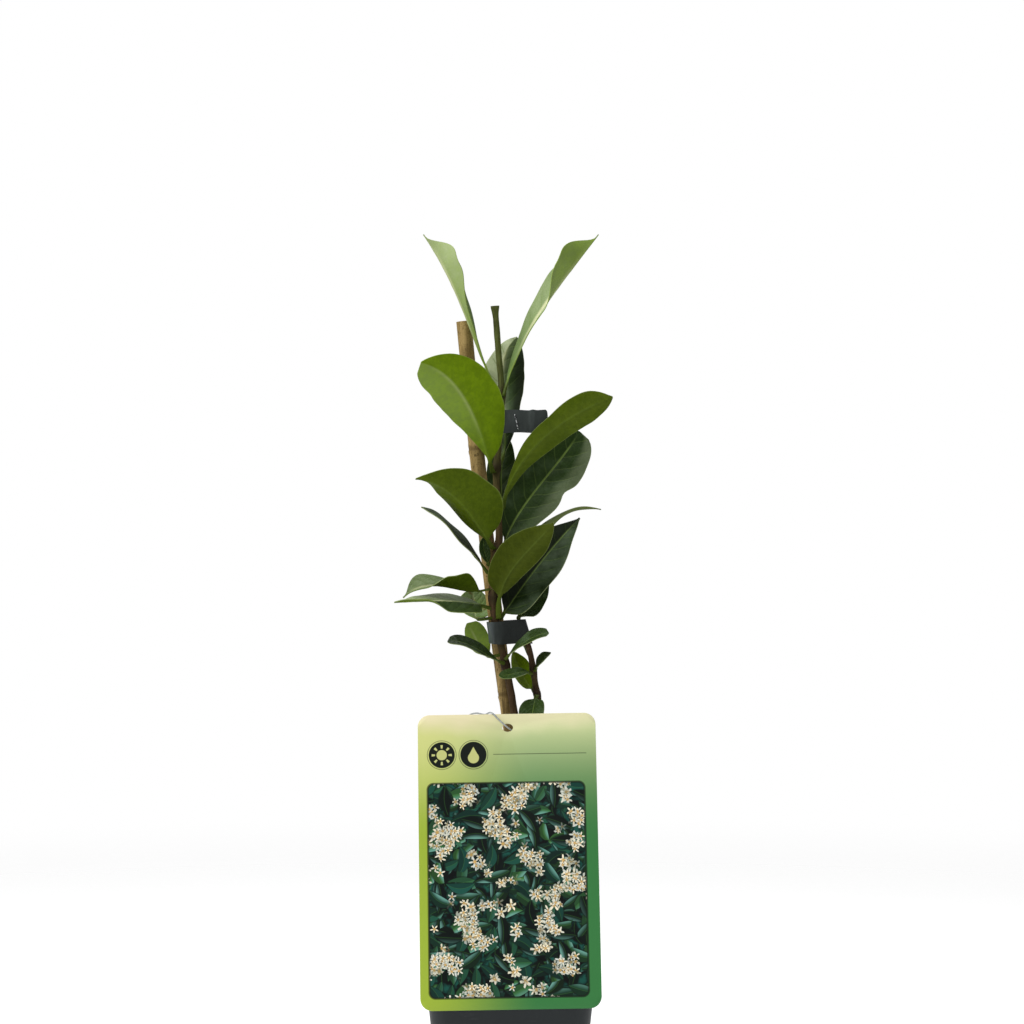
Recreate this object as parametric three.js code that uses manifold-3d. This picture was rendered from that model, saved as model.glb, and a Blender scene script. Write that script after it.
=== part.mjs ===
// A young star jasmine tied to a bamboo cane, in a square nursery pot with a hanging label.
// Millimetres, +Z up. The origin is the centre of the pot's underside, and the label faces -Y.
// Each leaf, stem, tie, the cane, the soil, the label, its loop and the pot is one closed solid.

import * as THREE from "three";
import { mergeVertices } from "three/addons/utils/BufferGeometryUtils.js";
import Module from "manifold-3d";

const wasm = await Module();
wasm.setup();

// ---------------------------------------------------------------- driving dimensions

const GAP = 0.3; // clearance between two pieces that touch

// pot: a square pot with rounded corners, a tapering body and a stepped rim
const POT = {
  height: 100,
  rimWidth: 90,
  rimDrop: 9,
  rimStep: 2,
  baseWidth: 67,
  wall: 1.6,
  floor: 3,
  edgeRound: 0.6,
  rimCorner: 11,
  baseCorner: 9,
  cornerSteps: 6,
  cornerInset: 0.5, // how much of an inset comes off the corners' radius
};
const DRAIN = { radius: 4, offset: 22, count: 8, sides: 16 };

// soil: fills the pot to just below the rim, with a surface of low lumps and ripples
const SOIL = { top: 88, lump: 1, ripple: 0.6, sideGap: 0.4, rings: 6 };

// cane: a bamboo stick that leans to the left
const CANE = {
  radius: 4,
  boreRadius: 1.3,
  boreDepth: 14,
  boreSides: 10,
  joints: [352, 226, 118],
  jointSwell: 0.35,
  jointLength: 1.8,
  sides: 14,
  steps: 40,
  route: [
    [24, 3.5, 24],
    [17, 3.5, 88],
    [8.5, 3.5, 150],
    [-1, 3.5, 217.5],
    [-5.5, 3.5, 250],
    [-12.5, 3.5, 308.5],
    [-18, 3.5, 358],
    [-24, 3.5, 419],
  ],
};

// stems: each one is a tapering tube that thickens where leaves grow from it
const MAIN_STEM = {
  rootRadius: 2.2,
  tipRadius: 1.55,
  nodes: [427, 382, 344, 302, 277, 262, 243],
  nodeSwell: 0.75,
  nodeLength: 3.5,
  sides: 10,
  steps: 66,
  route: [
    [15, -5, 52],
    [15, -4.8, 88],
    [13, -4.2, 130],
    [8, -3.8, 180],
    [2, -3.8, 218],
    [-1.5, -3.8, 238],
    [-5, -3.8, 253],
    [-7.6, -3.7, 264],
    [-9, -3.6, 276],
    [-8.6, -3, 289],
    [-6, -2.5, 306.5],
    [-6.5, -2, 325],
    [-7.3, -2, 338],
    [-5.5, -2, 363],
    [-4.5, -2, 382],
    [-6, -2, 401],
    [-8, -2, 426.5],
  ],
};
const SIDE_STEM = {
  rootRadius: 1.9,
  tipRadius: 1.5,
  nodes: [262, 240, 228],
  nodeSwell: 0.5,
  nodeLength: 3,
  sides: 10,
  steps: 36,
  route: [
    [25, -3, 56],
    [25, -2.6, 88],
    [22, -1.6, 150],
    [15.5, -1, 218],
    [13.5, -1, 228],
    [11.5, -1, 241],
    [9.6, -1, 250.5],
    [7.2, -0.8, 258],
    [5, -0.6, 264.5],
  ],
};

// ties: dark tape around the cane and the stems
const TAPE = { height: 11.6, thickness: 0.7, clearance: 0.35, roundness: 20 };
const UPPER_TIE = { bottom: 361.5, tailEnd: [19.6, -7.2], tailBow: 0.4, tailSteps: 8 };
const LOWER_TIE = { bottom: 253.8 };

// label: a stiff card with rounded corners that hangs on a loop and leans on the pot's rim
const LABEL = {
  width: 90,
  height: 148,
  thickness: 0.8,
  corner: 6,
  holeAcross: 5.5,
  holeUp: 4.2,
  holeFromTop: 7,
  holeFromCentre: 0.5,
  lean: 13.3,
  turn: 0.95,
  foot: [0.4, -51.6, 74.5],
};

// loop: through the label's hole, over its top edge and around the cane and the main stem
const LOOP = {
  radius: 0.45,
  sides: 6,
  steps: 48,
  route: [
    [-1.4, -20.6, 212],
    [-5.5, -20.4, 215.6],
    [-9.8, -19, 219.4],
    [-13, -15.8, 218.2],
    [-17, -12.5, 218.7],
    [-20.5, -7, 217.6],
    [-18.5, 3, 215.8],
    [-8, 10, 214],
    [2, 10.6, 212],
    [8.5, 5, 211],
    [9, -3, 210],
    [5.5, -11, 209.4],
    [1.6, -17.2, 210],
  ],
};

// leaves: blades that are thicker along the midrib, on a short stalk
const LEAF = {
  edgeThickness: 0.6,
  ribThickness: 1.1,
  stalkThickness: 1.7,
  stalkHalfWidth: 0.95,
  stalkFlatness: 0.6,
  stalkShare: 0.1,
  longestStalk: 6,
  tipHalfWidth: 0.35,
  columns: 6,
  rowLength: 6,
  fewestRows: 7,
  thinsOver: 1 / 6, // the part of a blade over which it thins from stalk to blade
  dentLength: 0.07, // how long a dent in the outline is, over the blade
  waves: { pace: 14, shift: 2, from: 0.25, fullWidth: 5 },
};

// Each leaf: rib holds four points that its midrib runs through, from the stem to the tip.
// left and right give each half, as seen from the stem with the upper face up: its reach from
// the midrib, where along the blade that is, and how hollow its outline is towards the stalk
// and towards the tip. Two more numbers place a dent along the blade and give its depth. roll
// turns the blade about its midrib and fold raises its halves, both in degrees at evenly spaced
// places from stalk to tip. curl bends each half further towards its edge. facing is the way the
// leaf grows, seen from above, where the rib doesn't give it.
const LEAVES = [
  {
    name: "leaf_crown_left",
    rib: [[-7.8, -2.6, 384], [-18.5, -4, 410], [-30, -6, 437], [-44.5, -8, 462.5]],
    left: [11.5, 0.8, 2.2, 14],
    right: [10, 0.7, 2.2, 9],
    roll: [2, 2, 7, 4, -20],
    fold: [12, 12, 21, 39, 65],
    curl: 12,
    wave: 0.3,
    facing: 185,
  },
  {
    name: "leaf_crown_right",
    rib: [[-3.6, -5.5, 380], [7.6, -4.2, 410], [25, -6, 436.5], [45, -8, 462.5]],
    left: [12, 0.62, 1.3, 6],
    right: [12, 0.8, 1.3, 14],
    roll: [-12, -12, -22, 0, 15],
    fold: [2, 2, 10, 40, 72],
    curl: 8,
    wave: 0.4,
    facing: 0,
  },
  {
    name: "leaf_back_upper",
    rib: [[-6, 1.6, 345], [-3, 10, 366], [-4.5, 18, 392], [3.5, 22, 412]],
    left: [12, 0.5, 1.5, 1.9],
    right: [11.6, 0.66, 1.7, 1.3],
    roll: [8, 12, 12],
    fold: [4, -10, -12],
    curl: 8,
    wave: 0.5,
    facing: 90,
  },
  {
    name: "leaf_front_upper",
    rib: [[-9, -5, 341], [-15.5, -16, 362.5], [-26.5, -30, 383.5], [-44.5, -44, 395.5]],
    left: [18.5, 0.45, 1.6, 1.5],
    right: [13.5, 0.65, 1.9, 0.9],
    roll: [-50, -56, -56],
    fold: [20, 8, 5],
    curl: 10,
    wave: 0.7,
  },
  {
    name: "leaf_back_middle",
    rib: [[-5.6, 1, 304.5], [-4.4, 11, 321], [-4.8, 17, 341], [-2, 18, 360]],
    left: [8, 0.6, 1.6, 1.4],
    right: [8, 0.6, 1.6, 1.4],
    roll: [0, 0, 0],
    fold: [20, 15, 10],
    curl: 6,
    wave: 0.5,
    facing: 90,
  },
  {
    name: "leaf_front_right",
    rib: [[-3.9, -3.7, 322.5], [7, -12, 348], [27.5, -20, 367], [51.5, -26, 379]],
    left: [10, 0.68, 1.2, 2.3],
    right: [8.6, 0.79, 1.4, 4.8, 0.58, 0.07],
    roll: [40, 48, 52],
    fold: [15, 8, 4],
    curl: 8,
    wave: 0.6,
  },
  {
    name: "leaf_broad_right",
    rib: [[-3.2, -1, 303.5], [6.5, 8, 323.5], [22, 18, 343.5], [36, 24, 363]],
    left: [16, 0.6, 1.2, 1.3],
    right: [15.5, 0.6, 0.8, 1, 0.56, 0.14],
    roll: [-50, -60, -60],
    fold: [12, 8, 4],
    curl: 8,
    wave: 0.8,
    stalk: 3.2,
  },
  {
    name: "leaf_broad_left",
    rib: [[-9, -4.9, 302.5], [-19, -16, 318], [-31.5, -28, 331.5], [-47.5, -36, 337.5]],
    left: [18.5, 0.38, 1.5, 1.6],
    right: [14.5, 0.4, 1.7, 2.4],
    roll: [-30, -27, -30],
    fold: [30, 29, 20],
    curl: 8,
    wave: 0.6,
  },
  {
    name: "leaf_small_left",
    rib: [[-11, -4.7, 294], [-12.8, -4.6, 299], [-13.6, -4.4, 303], [-13.8, -4.2, 308]],
    left: [3.4, 0.5, 1, 1.3],
    right: [3, 0.5, 1, 1.3],
    roll: [0, 0, 0],
    fold: [15, 10, 6],
    curl: 6,
    wave: 0.2,
    facing: 120,
  },
  {
    name: "leaf_slim_left",
    rib: [[-11.5, -3.6, 289.5], [-21.5, -6, 303], [-33.5, -8, 316], [-45.5, -8, 323.5]],
    left: [10, 0.45, 1.5, 1.4],
    right: [10, 0.45, 1.5, 1.4],
    roll: [12, 13, 10],
    fold: [4, 0, 0],
    curl: 3,
    wave: 0.4,
  },
  {
    name: "leaf_slim_right",
    rib: [[-6.4, -0.9, 287.5], [8.5, 14, 302], [25, 19, 318], [47, 18, 322.3]],
    left: [10, 0.5, 1.2, 2.2],
    right: [10, 0.5, 1.2, 2.2],
    roll: [30, 29, 3],
    fold: [4, 0, 0],
    curl: 3,
    wave: 0.4,
  },
  {
    name: "leaf_front_middle",
    rib: [[-5.9, -6.2, 266.6], [-2.5, -12, 286], [8.8, -24, 301.5], [21.6, -34, 315.5]],
    left: [7.4, 0.6, 1, 2],
    right: [12.6, 0.4, 1.0, 1.6],
    roll: [55, 65, 65],
    fold: [5, 2, 0],
    curl: 8,
    wave: 0.6,
    stalk: 12,
  },
  {
    name: "leaf_glossy_right",
    rib: [[-5, -2.4, 266.6], [7, -2, 284], [20.5, -1, 301.5], [35.5, 1, 318]],
    left: [13, 0.5, 1.5, 2.6],
    right: [13, 0.42, 0.5, 1.7],
    roll: [-60, -68, -60],
    fold: [14, 10, 6],
    curl: 8,
    wave: 0.6,
    stalk: 3.5,
  },
  {
    name: "leaf_glossy_back",
    rib: [[4, 0.8, 266.4], [7, 7.5, 273.2], [12.2, 13, 286], [18, 15, 300]],
    left: [9, 0.5, 1.5, 1.5],
    right: [9.8, 0.38, 0.7, 1.5],
    roll: [-55, -60, -60],
    fold: [10, 8, 6],
    curl: 8,
    wave: 0.4,
    stalk: 3.2,
  },
  {
    name: "leaf_curled_left",
    rib: [[-11.6, -4.4, 281.5], [-25, -10, 281.5], [-40, -14, 283.5], [-54.5, -16, 277.5]],
    left: [11, 0.36, 2.3, 3.4],
    right: [8.5, 0.7, 3, 9],
    roll: [-8, -8, 5, 31, 32],
    fold: [48, 48, 35, 14, 12],
    curl: 8,
    wave: 0.4,
  },
  {
    name: "leaf_long_left",
    rib: [[-11.2, -4.6, 272], [-25, -14, 275.2], [-41.5, -22, 276], [-58.5, -28, 275.5]],
    left: [11, 0.38, 0.8, 1.4],
    right: [10, 0.45, 0.9, 1.5],
    roll: [28, 26, 24, 5, -20],
    fold: [-2, -6, -6, 10, 12],
    curl: 5,
    wave: 0.3,
  },
  {
    name: "leaf_back_left",
    rib: [[-11.2, -4.6, 266.6], [-16.8, 1, 266], [-18.4, 9.5, 269.6], [-20, 13.2, 281.5]],
    left: [10, 0.56, 2, 1.2],
    right: [8.6, 0.5, 1.2, 1.2],
    roll: [0, 0, 0],
    fold: [12, 10, 8],
    curl: 6,
    wave: 0.3,
    stalk: 8,
  },
  {
    name: "leaf_low_back",
    rib: [[-7.2, -4.3, 247.5], [-13.5, 3, 248], [-17.4, 11, 254], [-22.5, 13, 263.4]],
    left: [7, 0.6, 1.2, 0.9],
    right: [5, 0.6, 1.4, 1.4],
    roll: [180, 210, 210],
    fold: [-8, -6, -4],
    curl: -6,
    wave: 0.3,
    stalk: 7,
  },
  {
    name: "leaf_low_left",
    rib: [[-3.6, -7.1, 244], [-12, -12, 248.5], [-22, -14, 254], [-32, -14, 255]],
    left: [5.5, 0.6, 1.5, 1.3],
    right: [5.3, 0.62, 1.5, 1],
    roll: [30, 33, 30],
    fold: [15, 10, 6],
    curl: 6,
    wave: 0.2,
  },
  {
    name: "leaf_low_right",
    rib: [[-2.3, -7, 246.3], [3.3, -11, 252], [11.2, -14.5, 257.3], [19.5, -16, 259.5]],
    left: [6, 0.65, 1.6, 1.1],
    right: [6.8, 0.62, 1.2, 1],
    roll: [-30, -33, -30],
    fold: [15, 10, 6],
    curl: 6,
    wave: 0.2,
  },
  {
    name: "leaf_side_right",
    rib: [[12.9, -3.3, 240.5], [14.4, -7, 243.5], [17.5, -10, 247], [20.5, -11, 249.5]],
    left: [5, 0.42, 0.8, 1.3],
    right: [3.4, 0.6, 1.3, 1],
    roll: [-55, -55, -50],
    fold: [10, 8, 4],
    curl: 6,
    wave: 0.1,
  },
  {
    name: "leaf_side_left",
    rib: [[10, -2.8, 238.6], [5, -9, 239.5], [0, -12, 238.5], [-6, -13, 238]],
    left: [3.5, 0.6, 1.2, 1],
    right: [3.5, 0.6, 1.2, 1],
    roll: [40, 40, 40],
    fold: [10, 8, 4],
    curl: 6,
    wave: 0.1,
  },
  {
    name: "leaf_side_back",
    rib: [[12.2, 1.6, 229], [9, 4, 234], [5, 6, 241], [1.5, 7, 249]],
    left: [6, 0.5, 1.3, 1.3],
    right: [7.5, 0.45, 1.2, 1.3],
    roll: [-70, -75, -70],
    fold: [10, 8, 4],
    curl: 6,
    wave: 0.2,
  },
  {
    name: "leaf_side_inner",
    rib: [[10.2, 1.4, 246], [8.4, 6, 249], [6.5, 8, 252.5], [4.8, 9, 256.5]],
    left: [3.5, 0.5, 1.3, 1.3],
    right: [3.5, 0.5, 1.3, 1.3],
    roll: [-40, -40, -40],
    fold: [15, 12, 8],
    curl: 6,
    wave: 0.1,
  },
  {
    name: "leaf_hanging",
    rib: [[13.2, -3.7, 227.2], [11.8, -8, 222], [10.8, -11.5, 216], [9.8, -12.5, 206]],
    left: [7, 0.4, 1, 1.2],
    right: [7, 0.4, 1, 1.2],
    roll: [0, 0, 0],
    fold: [15, 12, 8],
    curl: 6,
    wave: 0.2,
  },
];

// ---------------------------------------------------------------- materials

function surface(color, roughness) {
  return new THREE.MeshStandardMaterial({ color, roughness, metalness: 0 });
}

const potPlastic = surface(0x34393b, 0.6);
const soilPeat = surface(0x3a2c20, 1.0);
const caneBamboo = surface(0x94795a, 0.65);
const stemBark = surface(0x5a4430, 0.8);
const leafGreen = surface(0x3f5f1c, 0.4);
const tapeDark = surface(0x36393b, 0.55);
const labelCard = surface(0xb3bd72, 0.4);
const loopClear = surface(0xa9acae, 0.35);

// ---------------------------------------------------------------- geometry helpers

const group = new THREE.Group();

function addPart(name, geometry, material) {
  const mesh = new THREE.Mesh(geometry, material);
  mesh.name = name;
  group.add(mesh);
  return mesh;
}

function vector([x, y, z]) {
  return new THREE.Vector3(x, y, z);
}

function mix(a, b, t) {
  return a + (b - a) * t;
}

function smooth(t) {
  const s = Math.min(Math.max(t, 0), 1);
  return s * s * (3 - 2 * s);
}

// a value between evenly spaced keys, with a smooth step from each key to the next
function between(keys, t) {
  const place = Math.min(Math.max(t, 0), 1) * (keys.length - 1);
  const i = Math.min(Math.floor(place), keys.length - 2);
  return mix(keys[i], keys[i + 1], smooth(place - i));
}

// a BufferGeometry from points and triangles that share them
function geometryFrom(points, triangles) {
  const geometry = new THREE.BufferGeometry();
  geometry.setAttribute("position", new THREE.Float32BufferAttribute(points.flatMap((p) => p.toArray()), 3));
  geometry.setIndex(triangles.flat());
  return geometry;
}

// a closed solid through rings of equally many points, with a fan over each end
function loft(rings) {
  const count = rings[0].length;
  const points = rings.flat();
  const triangles = [];
  for (let i = 0; i + 1 < rings.length; i++) {
    for (let j = 0; j < count; j++) {
      const a = i * count + j;
      const b = i * count + ((j + 1) % count);
      triangles.push([a, b, b + count], [a, b + count, a + count]);
    }
  }
  const addCap = (ring, offset, flip) => {
    const centre = new THREE.Vector3();
    ring.forEach((p) => centre.addScaledVector(p, 1 / count));
    const hub = points.push(centre) - 1;
    for (let j = 0; j < count; j++) {
      const a = offset + j;
      const b = offset + ((j + 1) % count);
      triangles.push(flip ? [hub, b, a] : [hub, a, b]);
    }
  };
  addCap(rings[0], 0, true);
  addCap(rings[rings.length - 1], (rings.length - 1) * count, false);
  return geometryFrom(points, triangles);
}

// a tube along a route of points, its radius given by the height of the point on it;
// lead lengthens its first step
function tube(route, radiusAt, sides, steps, lead = 0) {
  const curve = new THREE.CatmullRomCurve3(route.map(vector));
  const frames = curve.computeFrenetFrames(steps, false);
  const rings = [];
  for (let i = 0; i <= steps; i++) {
    const centre = curve.getPointAt(i / steps);
    const radius = radiusAt(centre.z);
    if (i === 0) {
      centre.addScaledVector(frames.tangents[0], -lead);
    }
    const ring = [];
    for (let j = 0; j < sides; j++) {
      const angle = (2 * Math.PI * j) / sides;
      const point = centre.clone();
      point.addScaledVector(frames.normals[i], radius * Math.cos(angle));
      point.addScaledVector(frames.binormals[i], radius * Math.sin(angle));
      ring.push(point);
    }
    rings.push(ring);
  }
  return loft(rings);
}

function solidOf(geometry) {
  const plain = geometry.clone();
  plain.deleteAttribute("normal");
  plain.deleteAttribute("uv");
  const merged = mergeVertices(plain, 1e-4);
  const vertProperties = new Float32Array(merged.attributes.position.array);
  const triVerts = new Uint32Array(merged.index.array);
  return new wasm.Manifold(new wasm.Mesh({ numProp: 3, vertProperties, triVerts }));
}

function geometryOf(solid) {
  const mesh = solid.getMesh();
  const geometry = new THREE.BufferGeometry();
  geometry.setAttribute("position", new THREE.BufferAttribute(new Float32Array(mesh.vertProperties), 3));
  geometry.setIndex(new THREE.BufferAttribute(new Uint32Array(mesh.triVerts), 1));
  return geometry;
}

function cut(body, tools) {
  return geometryOf(tools.reduce((left, tool) => left.subtract(solidOf(tool)), solidOf(body)));
}

// ---------------------------------------------------------------- pot

// one level of the pot: a square with round corners, as points around it
function squareRing(width, corner, z) {
  const ring = [];
  for (let quarter = 0; quarter < 4; quarter++) {
    const middle = Math.PI / 4 + (quarter * Math.PI) / 2;
    const centreX = Math.sign(Math.cos(middle)) * (width / 2 - corner);
    const centreY = Math.sign(Math.sin(middle)) * (width / 2 - corner);
    for (let i = 0; i <= POT.cornerSteps; i++) {
      const angle = middle - Math.PI / 4 + (Math.PI / 2) * (i / POT.cornerSteps);
      ring.push(new THREE.Vector3(centreX + corner * Math.cos(angle), centreY + corner * Math.sin(angle), z));
    }
  }
  return ring;
}

const bodyTopWidth = POT.rimWidth - 2 * POT.rimStep;

// the body's outer width and corner radius at a height
function potWidth(z) {
  return mix(POT.baseWidth, bodyTopWidth, z / (POT.height - POT.rimDrop));
}

function potCorner(z) {
  return mix(POT.baseCorner, POT.rimCorner - POT.rimStep, z / POT.height);
}

function outerRing(z, inset = 0) {
  return squareRing(potWidth(z) - 2 * inset, potCorner(z) - inset * POT.cornerInset, z);
}

function pot() {
  const rimBottom = POT.height - POT.rimDrop;
  const innerRimWidth = POT.rimWidth - 2 * POT.wall;
  const round = POT.edgeRound;
  const roundedWidth = POT.rimWidth - 2 * round;
  const rings = [
    outerRing(0, round),
    outerRing(round),
    outerRing(rimBottom - POT.rimStep),
    squareRing(roundedWidth, POT.rimCorner - round, rimBottom),
    squareRing(POT.rimWidth, POT.rimCorner, rimBottom + round),
    squareRing(POT.rimWidth, POT.rimCorner, POT.height - round),
    squareRing(roundedWidth, POT.rimCorner - round, POT.height),
    squareRing(innerRimWidth, POT.rimCorner - POT.wall, POT.height - round),
    squareRing(innerRimWidth, POT.rimCorner - POT.wall, rimBottom + POT.rimStep),
    outerRing(rimBottom - POT.rimStep, POT.wall),
    outerRing(POT.floor, POT.wall),
  ];
  const holes = [];
  for (let i = 0; i < DRAIN.count; i++) {
    const angle = (2 * Math.PI * i) / DRAIN.count;
    const reach = DRAIN.offset / Math.max(Math.abs(Math.cos(angle)), Math.abs(Math.sin(angle)));
    const hole = new THREE.CylinderGeometry(DRAIN.radius, DRAIN.radius, POT.floor * 3, DRAIN.sides);
    hole.rotateX(Math.PI / 2);
    hole.translate(reach * Math.cos(angle), reach * Math.sin(angle), 0);
    holes.push(hole);
  }
  return cut(loft(rings), holes);
}

addPart("pot", pot(), potPlastic);

// ---------------------------------------------------------------- cane and stems

function stemRadius(stem, grow = 0) {
  const low = stem.route[0][2];
  const high = stem.route[stem.route.length - 1][2];
  return (z) => {
    const plain = mix(stem.rootRadius, stem.tipRadius, (z - low) / (high - low));
    const swell = stem.nodes.map((node) => Math.exp(-(((z - node) / stem.nodeLength) ** 2)));
    return plain + grow + stem.nodeSwell * Math.max(...swell);
  };
}

function caneRadius(grow = 0) {
  return (z) => {
    const swell = CANE.joints.map((joint) => Math.exp(-(((z - joint) / CANE.jointLength) ** 2)));
    return CANE.radius + grow + CANE.jointSwell * Math.max(...swell);
  };
}

function cane() {
  const top = vector(CANE.route[CANE.route.length - 1]);
  const below = vector(CANE.route[CANE.route.length - 2]);
  const along = top.clone().sub(below).normalize();
  const { boreRadius, boreDepth, boreSides } = CANE;
  const bore = new THREE.CylinderGeometry(boreRadius, boreRadius, 2 * boreDepth, boreSides);
  bore.applyQuaternion(new THREE.Quaternion().setFromUnitVectors(new THREE.Vector3(0, 1, 0), along));
  bore.translate(top.x, top.y, top.z);
  return cut(tube(CANE.route, caneRadius(), CANE.sides, CANE.steps), [bore]);
}

function stem(shape, grow = 0) {
  return tube(shape.route, stemRadius(shape, grow), shape.sides, shape.steps, grow * 2);
}

addPart("cane", cane(), caneBamboo);
addPart("stem_main", stem(MAIN_STEM), stemBark);
addPart("stem_side", stem(SIDE_STEM), stemBark);

// ---------------------------------------------------------------- soil

// the uneven height of the soil's surface
function soilHeight(x, y) {
  const lump = Math.sin(x * 0.31 + 1.2) * Math.cos(y * 0.27);
  const ripple = Math.sin(x * 0.13 - y * 0.21 + 0.5);
  return SOIL.top + SOIL.lump * lump + SOIL.ripple * ripple;
}

function soil() {
  const inset = POT.wall + SOIL.sideGap;
  const edge = outerRing(SOIL.top - SOIL.lump - SOIL.ripple, inset);
  const rings = [outerRing(POT.floor + GAP, inset), edge];
  for (let i = 1; i <= SOIL.rings; i++) {
    const scale = 1 - i / (SOIL.rings + 1);
    const flat = edge.map((point) => [point.x * scale, point.y * scale]);
    rings.push(flat.map(([x, y]) => new THREE.Vector3(x, y, soilHeight(x, y))));
  }
  const holes = [
    tube(CANE.route, caneRadius(GAP), CANE.sides, CANE.steps, GAP * 2),
    stem(MAIN_STEM, GAP),
    stem(SIDE_STEM, GAP),
  ];
  return cut(loft(rings), holes);
}

addPart("soil", soil(), soilPeat);

// ---------------------------------------------------------------- ties

// where a route passes a height, or its top end, as a circle around it seen from above
function circleAt(route, height, radius) {
  const z = Math.min(height, route[route.length - 1][2]);
  const upper = route.findIndex((point) => point[2] >= z);
  const [x0, y0, z0] = route[upper - 1];
  const [x1, y1, z1] = route[upper];
  const t = (z - z0) / (z1 - z0);
  return { x: mix(x0, x1, t), y: mix(y0, y1, t), radius };
}

// the shortest loop around circles, as points that run counter-clockwise
function loopAround(circles) {
  const points = circles.flatMap(({ x, y, radius }) => {
    const around = [];
    for (let i = 0; i < TAPE.roundness; i++) {
      const angle = (2 * Math.PI * i) / TAPE.roundness;
      around.push(new THREE.Vector2(x + radius * Math.cos(angle), y + radius * Math.sin(angle)));
    }
    return around;
  });
  points.sort((a, b) => a.x - b.x || a.y - b.y);
  const half = (list) => {
    const chain = [];
    for (const point of list) {
      while (chain.length > 1) {
        const a = chain[chain.length - 2];
        const b = chain[chain.length - 1];
        if (b.clone().sub(a).cross(point.clone().sub(a)) > 1e-9) {
          break;
        }
        chain.pop();
      }
      chain.push(point);
    }
    chain.pop();
    return chain;
  };
  return [...half(points), ...half([...points].reverse())];
}

function grown(circles, amount) {
  return circles.map(({ x, y, radius }) => ({ x, y, radius: radius + amount }));
}

function tapeLoop(circles, bottom) {
  const shape = new THREE.Shape(loopAround(grown(circles, TAPE.thickness)));
  shape.holes.push(new THREE.Path(loopAround(circles).reverse()));
  const geometry = new THREE.ExtrudeGeometry(shape, { depth: TAPE.height, bevelEnabled: false });
  geometry.translate(0, 0, bottom);
  return geometry;
}

// where a route enters and leaves the tape, with clearance around what runs there
function heldCircles(route, radius, bottom) {
  return [bottom, bottom + TAPE.height].map((z) => circleAt(route, z, radius + TAPE.clearance));
}

function upperTie() {
  const circles = [
    ...heldCircles(CANE.route, CANE.radius, UPPER_TIE.bottom),
    ...heldCircles(MAIN_STEM.route, MAIN_STEM.rootRadius, UPPER_TIE.bottom),
  ];
  const held = circles[2];
  const half = TAPE.thickness / 2;
  const start = new THREE.Vector2(held.x, held.y - held.radius - half);
  const end = new THREE.Vector2(...UPPER_TIE.tailEnd);
  const bend = new THREE.Vector2(mix(start.x, end.x, 0.5), start.y - UPPER_TIE.tailBow);
  const tail = new THREE.Shape();
  tail.moveTo(start.x, start.y - half);
  tail.quadraticCurveTo(bend.x, bend.y - half, end.x, end.y);
  tail.lineTo(end.x, end.y + TAPE.thickness);
  tail.quadraticCurveTo(bend.x, bend.y + half, start.x, start.y + half);
  const tailSolid = new THREE.ExtrudeGeometry(tail, {
    depth: TAPE.height,
    bevelEnabled: false,
    curveSegments: UPPER_TIE.tailSteps,
  });
  tailSolid.translate(0, 0, UPPER_TIE.bottom);
  return geometryOf(solidOf(tapeLoop(circles, UPPER_TIE.bottom)).add(solidOf(tailSolid)));
}

function lowerTie() {
  const circles = [
    ...heldCircles(CANE.route, CANE.radius, LOWER_TIE.bottom),
    ...heldCircles(MAIN_STEM.route, MAIN_STEM.rootRadius + MAIN_STEM.nodeSwell, LOWER_TIE.bottom),
    ...heldCircles(SIDE_STEM.route, SIDE_STEM.rootRadius, LOWER_TIE.bottom),
  ];
  return tapeLoop(circles, LOWER_TIE.bottom);
}

addPart("tie_upper", upperTie(), tapeDark);
addPart("tie_lower", lowerTie(), tapeDark);

// ---------------------------------------------------------------- label and its loop

function roundedRectangle(width, height, corner) {
  const left = -width / 2;
  const right = width / 2;
  const shape = new THREE.Shape();
  shape.moveTo(left + corner, 0);
  shape.lineTo(right - corner, 0);
  shape.absarc(right - corner, corner, corner, -Math.PI / 2, 0, false);
  shape.lineTo(right, height - corner);
  shape.absarc(right - corner, height - corner, corner, 0, Math.PI / 2, false);
  shape.lineTo(left + corner, height);
  shape.absarc(left + corner, height - corner, corner, Math.PI / 2, Math.PI, false);
  shape.lineTo(left, corner);
  shape.absarc(left + corner, corner, corner, Math.PI, Math.PI * 1.5, false);
  return shape;
}

function label() {
  const shape = roundedRectangle(LABEL.width, LABEL.height, LABEL.corner);
  const hole = new THREE.Path();
  const holeY = LABEL.height - LABEL.holeFromTop;
  hole.absellipse(LABEL.holeFromCentre, holeY, LABEL.holeAcross / 2, LABEL.holeUp / 2, 0, 2 * Math.PI, true);
  shape.holes.push(hole);
  return new THREE.ExtrudeGeometry(shape, { depth: LABEL.thickness, bevelEnabled: false, curveSegments: 8 });
}

const labelMesh = addPart("label", label(), labelCard);
labelMesh.position.set(...LABEL.foot);
labelMesh.rotation.set(THREE.MathUtils.degToRad(90 - LABEL.lean), 0, THREE.MathUtils.degToRad(LABEL.turn));

function labelLoop() {
  const route = new THREE.CatmullRomCurve3(LOOP.route.map(vector), true);
  const frames = route.computeFrenetFrames(LOOP.steps, true);
  const points = [];
  const triangles = [];
  for (let i = 0; i < LOOP.steps; i++) {
    const centre = route.getPointAt(i / LOOP.steps);
    for (let j = 0; j < LOOP.sides; j++) {
      const angle = (2 * Math.PI * j) / LOOP.sides;
      const point = centre.clone();
      point.addScaledVector(frames.normals[i], LOOP.radius * Math.cos(angle));
      point.addScaledVector(frames.binormals[i], LOOP.radius * Math.sin(angle));
      points.push(point);
      const a = i * LOOP.sides + j;
      const b = i * LOOP.sides + ((j + 1) % LOOP.sides);
      const c = ((i + 1) % LOOP.steps) * LOOP.sides + ((j + 1) % LOOP.sides);
      const d = ((i + 1) % LOOP.steps) * LOOP.sides + j;
      triangles.push([a, b, c], [a, c, d]);
    }
  }
  return geometryFrom(points, triangles);
}

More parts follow.
